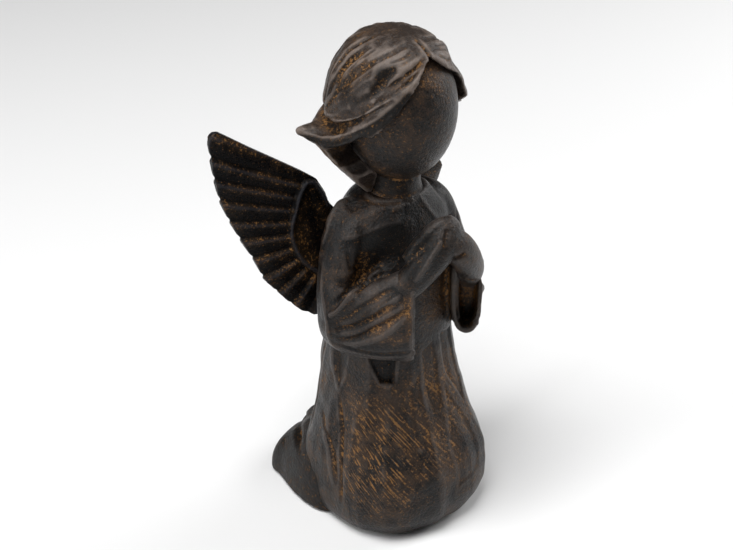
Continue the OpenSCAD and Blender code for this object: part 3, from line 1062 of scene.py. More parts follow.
@dataclass
class Robe:
    """The kneeling body with both sleeves, cast in three pieces.

    A row of the trunk is height, half-width, front, back and squareness. A row of the arm is
    height, distance out, distance back, half-width and half-depth. A row of the sleeve is
    distance out, distance ahead, turn, half-width and the heights of the hem and the ridge.
    """

    coarse: float = 1.2
    voxel: float = 0.9
    rows: tuple = (
        (1.2, 43.5, 41.5, 42, 2.3),
        (4, 46.5, 45.5, 43.5, 2.35),
        (8, 48, 48, 44.5, 2.4),
        (15, 49, 51, 45.5, 2.5),
        (26, 49.5, 51.5, 46, 2.5),
        (42, 48.3, 49.5, 45, 2.5),
        (60, 43.5, 40.5, 43, 2.5),
        (75, 40, 34, 42.5, 2.5),
        (90, 37, 29.5, 42.5, 2.5),
        (105, 35, 27.5, 41, 2.4),
        (120, 34, 26.5, 39.5, 2.4),
        (140, 33, 26, 37, 2.3),
        (160, 33, 25, 35, 2.3),
        (176, 33, 23, 33, 2.2),
        (188, 31, 20, 30, 2.2),
        (197, 27.5, 16.5, 26, 2.0),
        (203, 18.7, 14.7, 19.7, 2.0),
    )
    arm: tuple = (
        (120, 39.5, -2, 6, 7),
        (125, 40.5, -2, 9.5, 10),
        (135, 40.5, -2, 11.3, 13),
        (150, 39.5, 0, 11.3, 13.5),
        (164, 36.5, 2, 11.2, 13.5),
        (178, 32.5, 4, 11, 13.5),
        (190, 28, 5, 10, 12),
        (197, 21.5, 5, 8, 9.5),
    )
    sleeve: tuple = (
        (40, -9, 0, 5, 125, 144),
        (40.5, -3, 0, 9.3, 120, 150),
        (39.5, 6, 8, 10.8, 117.5, 155),
        (35.3, 16, 22, 10.5, 117, 163),
        (27.8, 27, 35, 9.8, 117.5, 170),
        (22, 35, 43, 9, 118.5, 175),
        (19.2, 38.4, 45, 8.6, 120, 172),
    )
    pocket: float = 13.0
    sleeve_bias: float = 0.4
    seam_rounds: int = 25
    wash_top: float = 128.0
    wash_run: float = 40.0
    wash_gain: float = 0.4
    wash_base: float = -0.2

    def arm_skin(self, side: Side) -> list[np.ndarray]:
        """Rings of the upper arm.

        Args:
            side: Side of the figure.

        Returns:
            The rings.
        """
        rings = [
            hoop((row[0], row[3], row[4], row[4], 2.2), (-row[1], row[2]))
            for row in eased(self.arm, 3)
        ]
        return mirrored(rings, side)

    def sleeve_skin(self, side: Side) -> list[np.ndarray]:
        """Rings of the draped forearm sleeve.

        Args:
            side: Side of the figure.

        Returns:
            The rings.
        """
        rings = []
        for out, ahead, turn, wide, hem, ridge in eased(self.sleeve, 4):
            run = (math.sin(math.radians(turn)), -math.cos(math.radians(turn)), 0)
            centre = (-out, -ahead, (hem + ridge) / 2)
            rings.append(band(centre, run, wide, (ridge - hem) / 2, 2.6))
        return mirrored(rings, side)

    def pocket_skin(self, side: Side) -> list[np.ndarray]:
        """Rings of the hollow in the mouth of a cuff.

        Args:
            side: Side of the figure.

        Returns:
            The rings.
        """
        out, ahead, turn, wide, hem, ridge = self.sleeve[-1]
        run = Vector((math.sin(math.radians(turn)), -math.cos(math.radians(turn)), 0))
        centre = Vector((-out, -ahead, (hem + ridge) / 2))
        high = (ridge - hem) / 2
        rings = []
        for step, pinch in ((-self.pocket, 5.0), (-self.pocket + 4, 3.2), (0, 2.6), (3, 2.4)):
            place = tuple(centre + step * run)
            rings.append(band(place, tuple(run), wide - pinch, high - pinch * 1.1, 2.6))
        return mirrored(rings, side)

    def build(self, palette: Palette) -> list[bpy.types.Object]:
        """Model, sculpt, part and dress the casting.

        Args:
            palette: The materials.

        Returns:
            The trunk and the sleeves.
        """
        trunk = [hoop(row, count=96) for row in eased(self.rows)]
        skins = [trunk]
        for side in Side:
            skins += [self.arm_skin(side), self.sleeve_skin(side)]
        master = skin_object("robe", skins)
        remesh(master, self.coarse)
        for side in Side:
            subtract(master, skin_object("pocket", [self.pocket_skin(side)]))
        remesh(master, self.voxel)
        tool = Carver(master)
        owners = self.owners(tool)
        tool.relax(5)
        self.sculpt(tool)
        tool.relax(1)
        tool.finish()
        self.hatch(tool)
        names = ["robe_body_cast", "right_sleeve_cast", "left_sleeve_cast"]
        made = split(master, owners, names)
        for thing, node in zip(made, ("robe_body", "right_sleeve", "left_sleeve")):
            dress(thing, palette.robe, (node,))
        return made

    def owners(self, tool: Carver) -> np.ndarray:
        """Tell for each point whether it belongs to the trunk or to a sleeve.

        Args:
            tool: Carver on the uncut casting.

        Returns:
            0 for the trunk, 1 for the right sleeve and 2 for the left one.
        """
        far = []
        groups = [[[hoop(row, count=96) for row in eased(self.rows)]]]
        for side in Side:
            groups.append([self.arm_skin(side), self.sleeve_skin(side), self.pocket_skin(side)])
        for skins in groups:
            thing = skin_object("probe", skins)
            bm = bmesh.new()
            bm.from_mesh(thing.data)
            tree = BVHTree.FromBMesh(bm)
            far.append([tree.find_nearest(Vector(place) * MM)[3] for place in tool.co])
            bm.free()
            bpy.data.objects.remove(thing)
        share = np.array(far) / MM
        share[1:] += self.sleeve_bias
        owner = share.argmin(0)
        soft = np.eye(3)[owner]
        return tool.spread(soft, self.seam_rounds).argmax(1)

    def sculpt(self, tool: Carver) -> None:
        """Cut the folds of the sleeves and the facets of the skirt.

        Args:
            tool: Carver on the uncut casting.
        """
        tool.plane_cuts(cuts=13, depth=1.3, seed=3, low=4.0, high=116.0)
        tool.plane_cuts(cuts=21, depth=0.5, seed=8, low=4.0, high=112.0)
        tool.roughen(amount=0.10, size=12.0, seed=4)
        tool.carve(HOLLOW_STROKES)
        tool.melt(tool.patches(RECESS_SPOTS), 60)
        tool.carve(SHOULDER_STROKES + SLEEVE_STROKES + SKIRT_STROKES)
        tool.melt(tool.patches(RIDGE_END_SPOTS), 40)
        # Facets take painted shade, and lose gold where they do.
        for corners, depth, soft, painted_shade in SKIRT_FACETS:
            share = tool.facet(corners, depth, soft)
            tool.deep += painted_shade * share
            tool.wash -= 0.9 * painted_shade * share
        below = np.clip((self.wash_top - tool.co[:, 2]) / self.wash_run, 0, 1)
        tool.wash += self.wash_gain * below + self.wash_base
        tool.wash += tool.patches(ROBE_STAINS)
        # Painted shade in patches.
        tool.deep += tool.patches(ROBE_SHADES)
        tool.dab(CUFF_DABS)

    def hatch(self, tool: Carver) -> None:
        """Record where the skirt is scratched.

        Args:
            tool: Carver on the uncut casting.
        """
        turn, height = tool.turns(), tool.co[:, 2]
        amount = np.zeros(tool.count)
        for at, level, wide, tall, share in HATCH_SPOTS:
            off = (turn - at + 180) % 360 - 180
            amount += share * np.exp(-((off / wide) ** 2) - ((height - level) / tall) ** 2)
        layer = tool.thing.data.attributes.new("hatch", "FLOAT", "POINT")
        layer.data.foreach_set("value", np.clip(amount, 0, 1).astype(np.float32))


# The hollow between the shoulder, the forearm and the chest.
HOLLOW_STROKES = (
    Stroke(((74, 158), (70, 168), (66, 178)), 6.5, 4.5, Cut.GROOVE, 0.2, taper=0.3),
    Stroke(((62, 168), (50, 175), (34, 179)), 5.5, 4.0, taper=0.3),
    Stroke(((118, 200), (113, 198), (107, 194), (105, 187)), 5.5, 2.6, Cut.RIDGE, taper=0.4, both=False),
    Stroke(((-116, 200), (-104, 199), (-84, 198), (-62, 197)), 6.0, 2.4, both=False),
)
# Patches are turn, height, radius and amount. These two smooth the surface.
RECESS_SPOTS = (
    (68, 172, 9, 1.0),
    (52, 178, 8, 1.0),
    (38, 182, 7, 0.9),
)
RIDGE_END_SPOTS = ((50, 180, 5, 1.0), (40, 182, 5, 1.0), (60, 178, 5, 0.8))
SHOULDER_STROKES = (
    Stroke(((120, 203), (80, 202), (50, 202), (20, 202), (-20, 202)), 1.3, 0.8, Cut.GROOVE, 0.6, both=False),
    Stroke(((116, 200), (109, 197), (104, 190), (103, 178)), 1.4, 0.9, Cut.RIDGE, both=False),
    Stroke(
        ((88, 186), (76, 188), (62, 191.5), (46, 193), (28, 192)),
        1.6,
        1.2,
        Cut.LAP,
        reach=7.5,
        both=False,
    ),
    Stroke(((-18, 202), (-27, 193), (-37, 184), (-44, 174)), 1.8, 0.8, Cut.RIDGE, both=False),
)
SLEEVE_STROKES = (
    Stroke(((80, 180), (77, 170), (75, 160)), 1.6, 0.8, Cut.GROOVE, 0.3),
    Stroke(((84, 144), (78, 149), (71, 158), (63, 164), (55, 167.5)), 1.6, 2.8, Cut.RIDGE, taper=0.08),
    Stroke(((80, 152), (72, 161), (63, 168), (54, 172)), 2.0, 1.6),
    Stroke(((82, 140), (72, 146), (62, 154), (50, 162), (40, 167)), 1.6, 1.2, Cut.GROOVE, 0.1),
    Stroke(((80, 137), (68, 141), (54, 149), (40, 160)), 2.4, 2.2),
    Stroke(((76, 139), (62, 146), (47, 156), (36, 165)), 1.4, 1.3, Cut.RIDGE),
    Stroke(((79, 131), (66, 134), (53, 142), (40, 150), (30, 158)), 1.9, 2.0),
    Stroke(((74, 129), (58, 133), (44, 141), (36, 149)), 1.8, 1.2, Cut.RIDGE),
    Stroke(((82, 128), (66, 126), (52, 125), (39, 126.5), (29, 129)), 1.2, 1.0, Cut.GROOVE, 0.1),
    Stroke(((30, 170), (27, 152), (28, 136), (29, 125)), 1.1, 1.4, Cut.RIDGE, taper=0.08),
    Stroke(((34, 166), (32, 150), (33, 134)), 2.4, 0.8, Cut.GROOVE, 0.3),
    Stroke(((98, 166), (90, 152), (85, 140), (84, 124)), 1.3, 1.4, Cut.RIDGE),
    Stroke(((104, 172), (99, 156), (94, 136)), 3.4, 1.4),
    Stroke(((113, 164), (108, 148), (106, 128)), 1.6, 1.0, Cut.RIDGE),
)
SKIRT_STROKES = (
    Stroke(((116, 106), (106, 93), (94, 84.5)), 1.8, 0.6, Cut.RIDGE),
    Stroke(((93, 84), (86, 66), (81, 50), (78, 34), (77, 18)), 1.4, 1.6, Cut.GROOVE, 0.4),
    Stroke(((112, 66), (101, 58), (88, 46), (81, 30)), 1.5, 1.2, Cut.GROOVE, 0.1),
    Stroke(((104, 62), (92, 44), (84, 26)), 1.8, 0.8, Cut.RIDGE),
    Stroke(((126, 112), (130, 90), (128, 66), (124, 44)), 2.2, 1.2, Cut.GROOVE, 0.2),
    Stroke(((150, 150), (152, 120), (148, 90), (150, 62)), 2.6, 1.3, Cut.GROOVE, 0.2),
    Stroke(((140, 140), (140, 112), (138, 84)), 1.8, 0.9, Cut.RIDGE),
    Stroke(((172, 176), (168, 140), (172, 104), (168, 70)), 2.4, 1.2, Cut.GROOVE, 0.2),
    Stroke(((180, 190), (182, 150), (178, 110), (180, 76)), 2.0, 1.0, Cut.RIDGE, both=False),
)
# Corners, depth, width of the rim and painted shade of each facet.
SKIRT_FACETS = (
    (((71, 120), (54, 97), (39, 96), (38, 120)), 2.6, 1.3, 1.0),
    (((114, 108), (106, 92), (94, 85), (89, 94), (87, 116), (106, 118)), 1.5, 4.5, 0.2),
    (((-24, 118), (-28, 92), (-40, 66), (-52, 80), (-48, 116)), 1.4, 2.5, 0.0),
    (((-22, 88), (-5, 52), (-6, 26), (-32, 28), (-36, 58)), 1.0, 3.0, 0.0),
    (((8, 112), (2, 70), (-14, 72), (-20, 100), (-14, 116)), 0.9, 3.0, 0.0),
    (((30, 92), (26, 58), (8, 52), (4, 70), (10, 100)), 0.8, 3.5, 0.0),
)
# Patches of painted shade.
ROBE_SHADES = (
    (56, 177, 14, 0.8),
    (40, 184, 11, 0.8),
    (72, 180, 8, 0.5),
    (100, 160, 12, 0.35),
    (98, 140, 12, 0.35),
    (52, 112, 8, 0.7),
    (66, 146, 12, 0.5),
    (48, 150, 12, 0.5),
    (50, 130, 10, 0.4),
    (72, 130, 8, 0.3),
    (100, 194, 10, 0.35),
    (92, 178, 9, 0.3),
    (20, 160, 12, 0.4),
)
# Patches of gold wash.
ROBE_STAINS = (
    (73, 176, 4.5, 1.2),
    (74, 167, 4.5, 1.2),
    (72, 159, 4, 0.8),
    (31, 160, 4.5, 1.1),
    (32, 152, 4, 1.0),
    (72, 136, 6, 0.5),
    (31, 137, 5, 0.4),
    (10, 150, 14, 0.35),
    (0, 130, 14, 0.3),
    (52, 140, 9, 0.25),
    (60, 78, 16, 0.25),
    (62, 40, 16, 0.25),
    (20, 70, 18, 0.2),
    (-20, 60, 22, 0.3),
    (-30, 90, 18, 0.25),
    (30, 95, 12, 0.2),
    (20, 196, 8, 0.3),
)
# X, y, z, radius and amount of each dab of gold in the cuffs and on the chest.
CUFF_DABS = (
    (28, -30, 154, 8, 1.8),
    (28, -30, 140, 9, 1.8),
    (-28, -30, 154, 8, 1.8),
    (-28, -30, 140, 9, 1.8),
    (10, -25, 140, 10, 0.4),
)
# Turn, height, width in degrees, height in millimetres and strength of each scratched area.
HATCH_SPOTS = (
    (50, 72, 24, 16, 0.9),
    (62, 44, 20, 18, 1.0),
    (36, 50, 22, 20, 0.7),
    (5, 80, 25, 30, 0.35),
    (-60, 60, 60, 40, 0.3),
    (170, 80, 60, 40, 0.3),
)


@dataclass
class Legs:
    """The lower legs and the crossed feet under the hem.

    A row is distance behind the axis, half-width and height.
    """

    voxel: float = 0.9
    legs: tuple = (
        (1, 42, 50),
        (8, 48.2, 54),
        (18, 50.4, 54),
        (30, 50, 48),
        (40, 48.3, 42),
        (50, 46, 35),
        (59, 45, 28),
        (64, 41, 21),
        (67, 35, 14),
        (68, 30, 9),
    )
    feet: tuple = (
        (18, 19, 50),
        (32, 20, 48),
        (44, 20, 42),
        (54, 19, 35),
        (63, 16.5, 29),
        (67, 13, 23),
        (70, 9, 17),
    )
    feet_x: float = -6.0
    floor: float = 1.2
    sole: float = 1.0
    wash: float = 0.35
    # Painted shade given to the whole piece.
    painted_shade: float = 0.8

    def lobe(self, rows: tuple, middle: float) -> list[np.ndarray]:
        """Rings of one flat-bottomed lobe.

        Args:
            rows: Distance behind the axis, half-width and height.
            middle: X of the middle.

        Returns:
            The rings.
        """
        rings = []
        angle = np.linspace(0, math.pi, 40)
        for back, wide, top in rows:
            x = middle - wide * squared(np.cos(angle), 2.8)
            z = self.floor + (top - self.floor) * squared(np.sin(angle), 2.8)
            rings.append(np.column_stack([x, np.full(len(angle), back), z]))
        return rings

    def build(self, palette: Palette) -> bpy.types.Object:
        """Model, sculpt and dress the piece.

        Args:
            palette: The materials.

        Returns:
            The piece.
        """
        skins = [self.lobe(eased(self.legs), 0.0), self.lobe(eased(self.feet), self.feet_x)]
        thing = skin_object("lower_legs_cast", skins)
        remesh(thing, self.voxel)
        tool = Carver(thing)
        tool.relax(4)
        base = tool.co[:, 2] < self.floor + self.sole
        for stroke in FOOT_STROKES:
            tool.mark(stroke, eased(stroke.path, STROKE_STEPS))
        tool.push(*HEEL_PULL)
        tool.refresh()
        tool.wash += self.wash
        # Painted shade over the whole piece, which lies under the hem.
        tool.deep += self.painted_shade
        tool.relax(1)
        tool.co[base, 2] = tool.co[base, 2].clip(self.floor, None)
        tool.finish()
        dress(thing, palette.robe, ("lower_legs",))
        return thing


# The paths of these strokes are (x, y, z) points.
FOOT_STROKES = (
    Stroke(
        ((-14, 68, 20), (-22, 61, 29), (-29, 54, 33), (-35, 47, 32), (-39, 38, 30), (-43, 28, 28)),
        2.4,
        4.0,
        taper=0.1,
    ),
    Stroke(((-14, 66, 25), (-22, 58, 34), (-28, 50, 38), (-33, 42, 38)), 1.8, 1.2, Cut.RIDGE),
    Stroke(((-38, 56, 22), (-42, 44, 18), (-44, 34, 14)), 1.4, 1.4, Cut.GROOVE, 0.3),
    Stroke(((-12, 66, 28), (-10, 56, 36), (-10, 46, 42)), 2.4, 1.2, Cut.RIDGE),
    Stroke(((9, 68, 16), (12, 60, 28), (14, 50, 35), (14, 40, 42)), 2.2, 3.4, taper=0.1),
)
# Place, radius and vector of the pull on the heel.
HEEL_PULL = ((-27, 50, 43), 8.0, (-4.0, 2.0, 4.0))


@dataclass
class Head:
    """The smooth face and neck."""

    voxel: float = 0.8
    half: tuple = (30.0, 32.5, 40.5)
    middle: tuple = (0.0, -2.0, 252.0)
    neck: float = 13.2

    def face_rings(self, grow: float = 0.0) -> list[np.ndarray]:
        """Rings of the egg-shaped face.

        Args:
            grow: Millimetres added all round.

        Returns:
            The rings.
        """
        rings = []
        pole = math.pi / 2 - 0.06
        for angle in np.linspace(-pole, pole, 30):
            wide = math.cos(angle)
            level = self.middle[2] + (self.half[2] + grow) * math.sin(angle)
            across, along = (self.half[0] + grow) * wide, (self.half[1] + grow) * wide
            rings.append(hoop((level, across, along, along, 2.0), self.middle[:2]))
        return rings

    def neck_rings(self) -> list[np.ndarray]:
        """Rings of the neck, a little wider where it meets the collar."""
        rows = ((199, 2.5), (203, 1.6), (207, 0.4), (214, 0.0), (225, 0.8), (240, 2.0))
        return [hoop((z, *[self.neck + flare] * 3, 2.0)) for z, flare in rows]

    def build(self, palette: Palette) -> bpy.types.Object:
        """Model, sculpt and dress the piece.

        Args:
            palette: The materials.

        Returns:
            The piece.
        """
        thing = skin_object("head_cast", [self.face_rings(), self.neck_rings()])
        remesh(thing, self.voxel)
        tool = Carver(thing)
        tool.relax(3)
        tool.carve(HEAD_STROKES)
        tool.wash += tool.patches(HEAD_STAINS)
        # Painted shade under the chin and the hair.
        tool.deep += tool.patches(HEAD_SHADES)
        tool.finish(cavity=0.7)
        dress(thing, palette.skin, ("head",))
        return thing


HEAD_STROKES = (
    Stroke(((110, 205), (70, 204), (30, 204), (0, 204), (-30, 204)), 1.6, 0.8, Cut.GROOVE, 0.8, both=False),
    Stroke(((97, 235), (90, 231), (83, 226)), 1.1, 0.7, Cut.RIDGE),
    Stroke(((60, 217), (30, 214), (0, 213)), 1.5, 0.3, Cut.GROOVE, 0.5),
)
# Patches of painted shade under the chin and at the edge of the hair.
HEAD_SHADES = ((70, 218, 10, 0.4), (30, 216, 10, 0.4), (-10, 216, 10, 0.3), (94, 238, 8, 0.5))
HEAD_STAINS = (
    (40, 262, 8, 0.3),
    (58, 252, 9, 0.4),
    (74, 244, 8, 0.35),
    (22, 274, 8, 0.4),
    (-8, 279, 8, 0.4),
    (45, 244, 10, 0.15),
    (60, 222, 9, 0.5),
    (30, 218, 9, 0.5),
    (0, 218, 9, 0.4),
    (80, 232, 6, 0.3),
)


@dataclass
class Hair:
    """The bob with its parting and its turned-out brim.

    A row is height, half-width, front, back and squareness. The arches hold the distance from
    the middle and the height of the cut over the brow. The edges and the nape hold Y and the
    height of the cuts down the cheeks. The left half of the crown is a little slimmer.
    """

    coarse: float = 1.0
    core: float = 1.5
    voxel: float = 0.75
    rows: tuple = (
        (204, 17, 11, 22, 2),
        (211, 24, 15, 28, 2),
        (219, 31, 21, 34, 2.1),
        (227, 37.5, 25, 38.5, 2.2),
        (232, 40.5, 29, 39.5, 2.3),
        (235, 42, 32, 41, 2.35),
        (238, 43, 34, 42, 2.4),
        (241, 42, 34.5, 41.2, 2.35),
        (244, 39.5, 35, 40.5, 2.3),
        (248, 37.2, 35, 40, 2.2),
        (256, 36.5, 35.5, 39.5, 2.1),
        (264, 35.5, 34.5, 38.5, 2),
        (272, 33.3, 33, 36.5, 2),
        (279, 29.5, 30.5, 32.5, 2),
        (285.5, 25, 27.7, 27.5, 2),
        (289.5, 19.5, 23, 21.5, 2),
        (292.3, 13, 17, 15, 2),
        (294, 7.5, 11, 8, 2),
        (294.5, 2.5, 5, 2, 2),
    )
    arch: tuple = ((0, 287), (8, 280), (14.5, 271.5), (21.5, 263), (27.5, 255.5), (33, 247.5))
    far_arch: tuple = ((9.5, 279), (20.5, 272), (27.7, 265), (32, 255), (34, 247.5))
    nape: tuple = ((8, 235), (6, 231), (1, 226), (-2, 219), (1, 210), (3, 200), (-70, 200))
    edge: tuple = ((-70, 248.5), (-14, 248.5), (-8, 244.5), (1, 239.5))
    far_edge: tuple = (
        (-70, 273),
        (-31, 273),
        (-25.6, 265.2),
        (-18.8, 253.6),
        (-6.5, 243.5),
        (1.6, 239),
    )

    slim_from: float = 256.0
    slim_run: float = 20.0
    slim: float = 0.065

    def opening(self) -> bpy.types.Object:
        """Make the arch over the brow that clears the face."""
        outline = [(-x, z) for x, z in self.arch[::-1]] + list(self.far_arch)
        return prism("opening", [(x, -11.0, z) for x, z in outline], (0, -50, 0))

    def cheek(self, side: Side) -> bpy.types.Object:
        """Make the cut that follows the edge of the hair down one cheek."""
        outline = (self.edge if side is Side.RIGHT else self.far_edge) + self.nape
        return prism("cheek", [(0.0, y, z) for y, z in outline], (80 * side.value, 0, 0))

    def build(self, palette: Palette, head: Head) -> bpy.types.Object:
        """Model, sculpt and dress the piece.

        Args:
            palette: The materials.
            head: The head that the hair sits on.

        Returns:
            The hair.
        """
        thing = skin_object("hair_cast", [[hoop(row, count=96) for row in eased(self.rows, 3)]])
        remesh(thing, self.coarse)
        tool = Carver(thing)
        tool.relax(3)
        self.sculpt(tool)
        subtract(thing, self.opening())
        for side in Side:
            subtract(thing, self.cheek(side))
        inner = skin_object("inner", [head.face_rings(-0.6), head.neck_rings()])
        remesh(inner, self.core)
        subtract(thing, inner)
        wash = Carver(thing)
        self.keep_paint(tool, wash)
        remesh(thing, self.voxel)
        final = Carver(thing)
        self.keep_paint(wash, final)
        final.relax(6)
        final.carve(self.locks(11))
        final.carve(LIP_STROKES)
        final.melt(final.beside(EDGE_LINES, 3.4), 18)
        final.carve(HAIR_FINE)
        final.roughen(amount=0.08, size=6.0, seed=21)
        final.wash += final.patches(HAIR_STAINS)
        # Painted shade in patches, some of them negative, and a dark band along the lip of the brim.
        final.deep += 1.4 * final.beside((LIP_LINE,), 2.6) + final.patches(HAIR_SHADES)
        # Painted sheen on the crown.
        final.worn += final.patches(HAIR_SHEEN)
        # Full painted shade in the hollows of the hair.
        final.finish(painted_shade=1.0)
        dress(thing, palette.hair, ("hair",))
        return thing

    @staticmethod
    def keep_paint(old: Carver, new: Carver) -> None:
        """Carry the paint over from one mesh to the next by the nearest points.

        Args:
            old: Carver that holds the paint.
            new: Carver that receives it.
        """
        tree = KDTree(old.count)
        for index, place in enumerate(old.co):
            tree.insert(place, index)
        tree.balance()
        near = np.array([tree.find(place)[1] for place in new.co])
        new.wash = old.wash[near]

    def sculpt(self, tool: Carver) -> None:
        """Cut the main locks and pull out the tips of the brim.

        Args:
            tool: Carver on the uncut hair.
        """
        x, z = tool.co[:, 0], tool.co[:, 2]
        high = np.clip((z - self.slim_from) / self.slim_run, 0, 1)
        tool.co[:, 0] = np.where(x > 0, x * (1 - self.slim * high), x)
        tool.carve(HAIR_STROKES)
        for place, radius, move in BRIM_PULLS:
            tool.push(place, radius, move)
        tool.refresh()

    def locks(self, seed: int) -> tuple:
        """Draw the strands between the guides.

        Args:
            seed: Seed of their spacing and depth.

        Returns:
            The strokes.
        """
        rng = np.random.default_rng(seed)
        guides = np.array(LOCK_GUIDES, dtype=float)
        last = len(guides) - 1
        made = []
        for step in np.arange(0.3, last, 0.22):
            at = min(step + rng.uniform(-0.06, 0.06), last - 0.01)
            low = int(at)
            path = guides[low] * (1 - at + low) + guides[low + 1] * (at - low)
            start = rng.integers(0, 3)
            stop = rng.integers(5, 8)
            deep = rng.uniform(0.5, 1.5) * (0.5 if 1.6 < at < 2.7 else 1.0)
            path = tuple(map(tuple, path[start:stop]))
            wide, wash = rng.uniform(0.9, 2.0), rng.uniform(0, 0.3)
            made.append(Stroke(path, wide, deep, Cut.GROOVE, wash, both=at > 1.4))
        return tuple(made)


# Place, radius and vector of each pull on the brim.
BRIM_PULLS = (
    ((-39, 22, 239.5), 5.5, (-9.5, 2.0, 3.5)),
    ((41, 26, 238), 8.0, (2.5, 3.0, 2.0)),
    ((35, -15, 252), 7.0, (2.8, -1.8, -1.5)),
)
# Lines over the brow and the cheeks along which the edge of the hair is rounded.
EDGE_LINES = (
    ((0, 287), (12, 282), (26, 272), (40, 263), (54, 255), (73, 246), (90, 240), (102, 236)),
    ((-6, 285), (-16, 279), (-33, 272), (-44, 266), (-55, 256), (-70, 247), (-90, 240)),
)
LIP_LINE = (
    (30, 270),
    (44, 262.5),
    (58, 255),
    (72, 248),
    (86, 242),
    (98, 239.5),
    (110, 239),
    (121, 240),
)
LIP_STROKES = (
    Stroke(
        ((24, 276), (42, 267), (58, 259), (74, 251.5), (90, 245), (104, 241.5), (118, 241)),
        1.3,
        0.9,
        Cut.RIDGE,
        both=False,
    ),
    Stroke(
        ((66, 261), (80, 254), (96, 248.5), (112, 247), (124, 247)),
        1.8,
        1.8,
        Cut.GROOVE,
        0.4,
        both=False,
    ),
)
# Patches of painted sheen on the crown.
HAIR_SHEEN = (
    (70, 290, 8, 0.3),
    (50, 287, 8, 0.32),
    (34, 285, 6, 0.32),
    (14, 283, 6, 0.3),
    (26, 278, 5, 0.25),
)
# Patches of painted shade; negative amounts take painted shade away.
HAIR_SHADES = (
    (100, 270, 9, 0.5),
    (84, 266, 9, 0.45),
    (116, 262, 9, 0.4),
    (56, 280, 4, 0.7),
    (44, 284, 3, 0.5),
    (100, 244, 5, 0.5),
    (108, 228, 9, -0.9),
    (122, 222, 9, -0.7),
    (64, 274, 4, 0.6),
    (53, 280, 4, 0.7),
)
# Lines from the parting to the tips, between which the strands run.
LOCK_GUIDES = (
    ((2, 286), (22, 276), (42, 268), (60, 261), (78, 253), (100, 248), (118, 244)),
    ((3, 288), (25, 281), (44, 275), (62, 268), (80, 260), (100, 253), (117, 248)),
    ((5, 291), (34, 286), (54, 281), (72, 275), (88, 266), (103, 258), (117, 251)),
    ((20, 293), (55, 290), (75, 285), (90, 277), (102, 268), (110, 259), (119, 252)),
    ((90, 294), (100, 290), (108, 285), (113, 278), (116, 269), (119, 260), (122, 252)),
    ((150, 293), (142, 289), (137, 284), (134, 277), (133, 268), (133, 259), (134, 250)),
    ((172, 293), (166, 289), (160, 284), (156, 277), (154, 268), (153, 259), (153, 249)),
    ((180, 292), (179, 288), (178, 283), (177, 276), (176, 268), (176, 259), (176, 248)),
)
HAIR_STROKES = (
    Stroke(((152, 249), (140, 249.5), (128, 249.5), (116, 249)), 2.4, 2.6, Cut.GROOVE, 0.3, taper=0.3),
    Stroke(((138, 246), (126, 246), (112, 246), (98, 247), (84, 249)), 2.6, 3.6, Cut.GROOVE, 0.8, taper=0.3),
    Stroke(((84, 248), (66, 253), (52, 260), (38, 268), (22, 277)), 1.5, 0.9, Cut.GROOVE, 0.2),
    Stroke(((120, 250), (100, 253), (84, 256), (68, 261), (54, 268)), 2.4, 1.3, Cut.RIDGE),
    Stroke(((124, 241), (108, 240), (95, 240), (80, 244), (66, 249)), 1.8, 1.2, Cut.RIDGE),
    Stroke(((64, 272), (52, 279), (40, 284)), 2.4, 3.0, Cut.GROOVE, 0.3, taper=0.4),
    Stroke(((60, 268), (47, 275), (34, 280)), 2.0, 1.4, Cut.GROOVE, 0.3, taper=0.4),
    Stroke(((102, 262), (107, 272), (105, 281), (90, 288)), 1.6, 1.5, Cut.GROOVE, 0.7),
    Stroke(((98, 264), (92, 276), (80, 283), (66, 283)), 6.0, 1.6, Cut.GROOVE, 0.4),
    Stroke(((116, 250), (118, 266), (124, 281), (150, 290)), 3.0, 1.0, Cut.RIDGE),
)
HAIR_FINE = (
    Stroke(((0, 286), (0, 291), (0, 293.5)), 1.0, 1.2, Cut.GROOVE, 1.3, both=False),
    Stroke(((180, 293.5), (180, 290), (180, 284)), 1.0, 1.0, Cut.GROOVE, 1.0, both=False),
    Stroke(((12, 287), (22, 283), (34, 281)), 0.9, 0.5, Cut.GROOVE, 0.4),
    Stroke(((20, 290), (34, 288), (50, 286)), 1.0, 0.5, Cut.GROOVE, 0.3),
    Stroke(((134, 240), (116, 234), (100, 232), (86, 233)), 1.2, 1.0, Cut.GROOVE, 0.9),
    Stroke(((138, 234), (120, 228), (102, 226), (84, 228)), 1.2, 1.1, Cut.GROOVE, 0.9),
    Stroke(((140, 229), (124, 223), (106, 221), (88, 222)), 1.2, 1.0, Cut.GROOVE, 0.8),
    Stroke(((144, 222), (128, 216), (112, 214), (94, 215)), 1.2, 1.0, Cut.GROOVE, 0.8),
    Stroke(((142, 234), (146, 226), (150, 218), (156, 210)), 1.3, 1.1, Cut.GROOVE, 0.8),
    Stroke(((160, 234), (162, 226), (166, 218), (170, 210)), 1.3, 1.1, Cut.GROOVE, 0.8),
    Stroke(((178, 234), (178, 226), (180, 218)), 1.3, 1.1, Cut.GROOVE, 0.8, both=False),
)
HAIR_STAINS = (
    (98, 274, 6, 0.3),
    (104, 264, 6, 0.2),
    (106, 246, 5, 0.5),
    (106, 229, 8, 1.0),
    (118, 224, 9, 0.8),
    (150, 222, 10, 0.4),
    (30, 282, 4, 0.5),
    (14, 286, 3, 0.4),
)


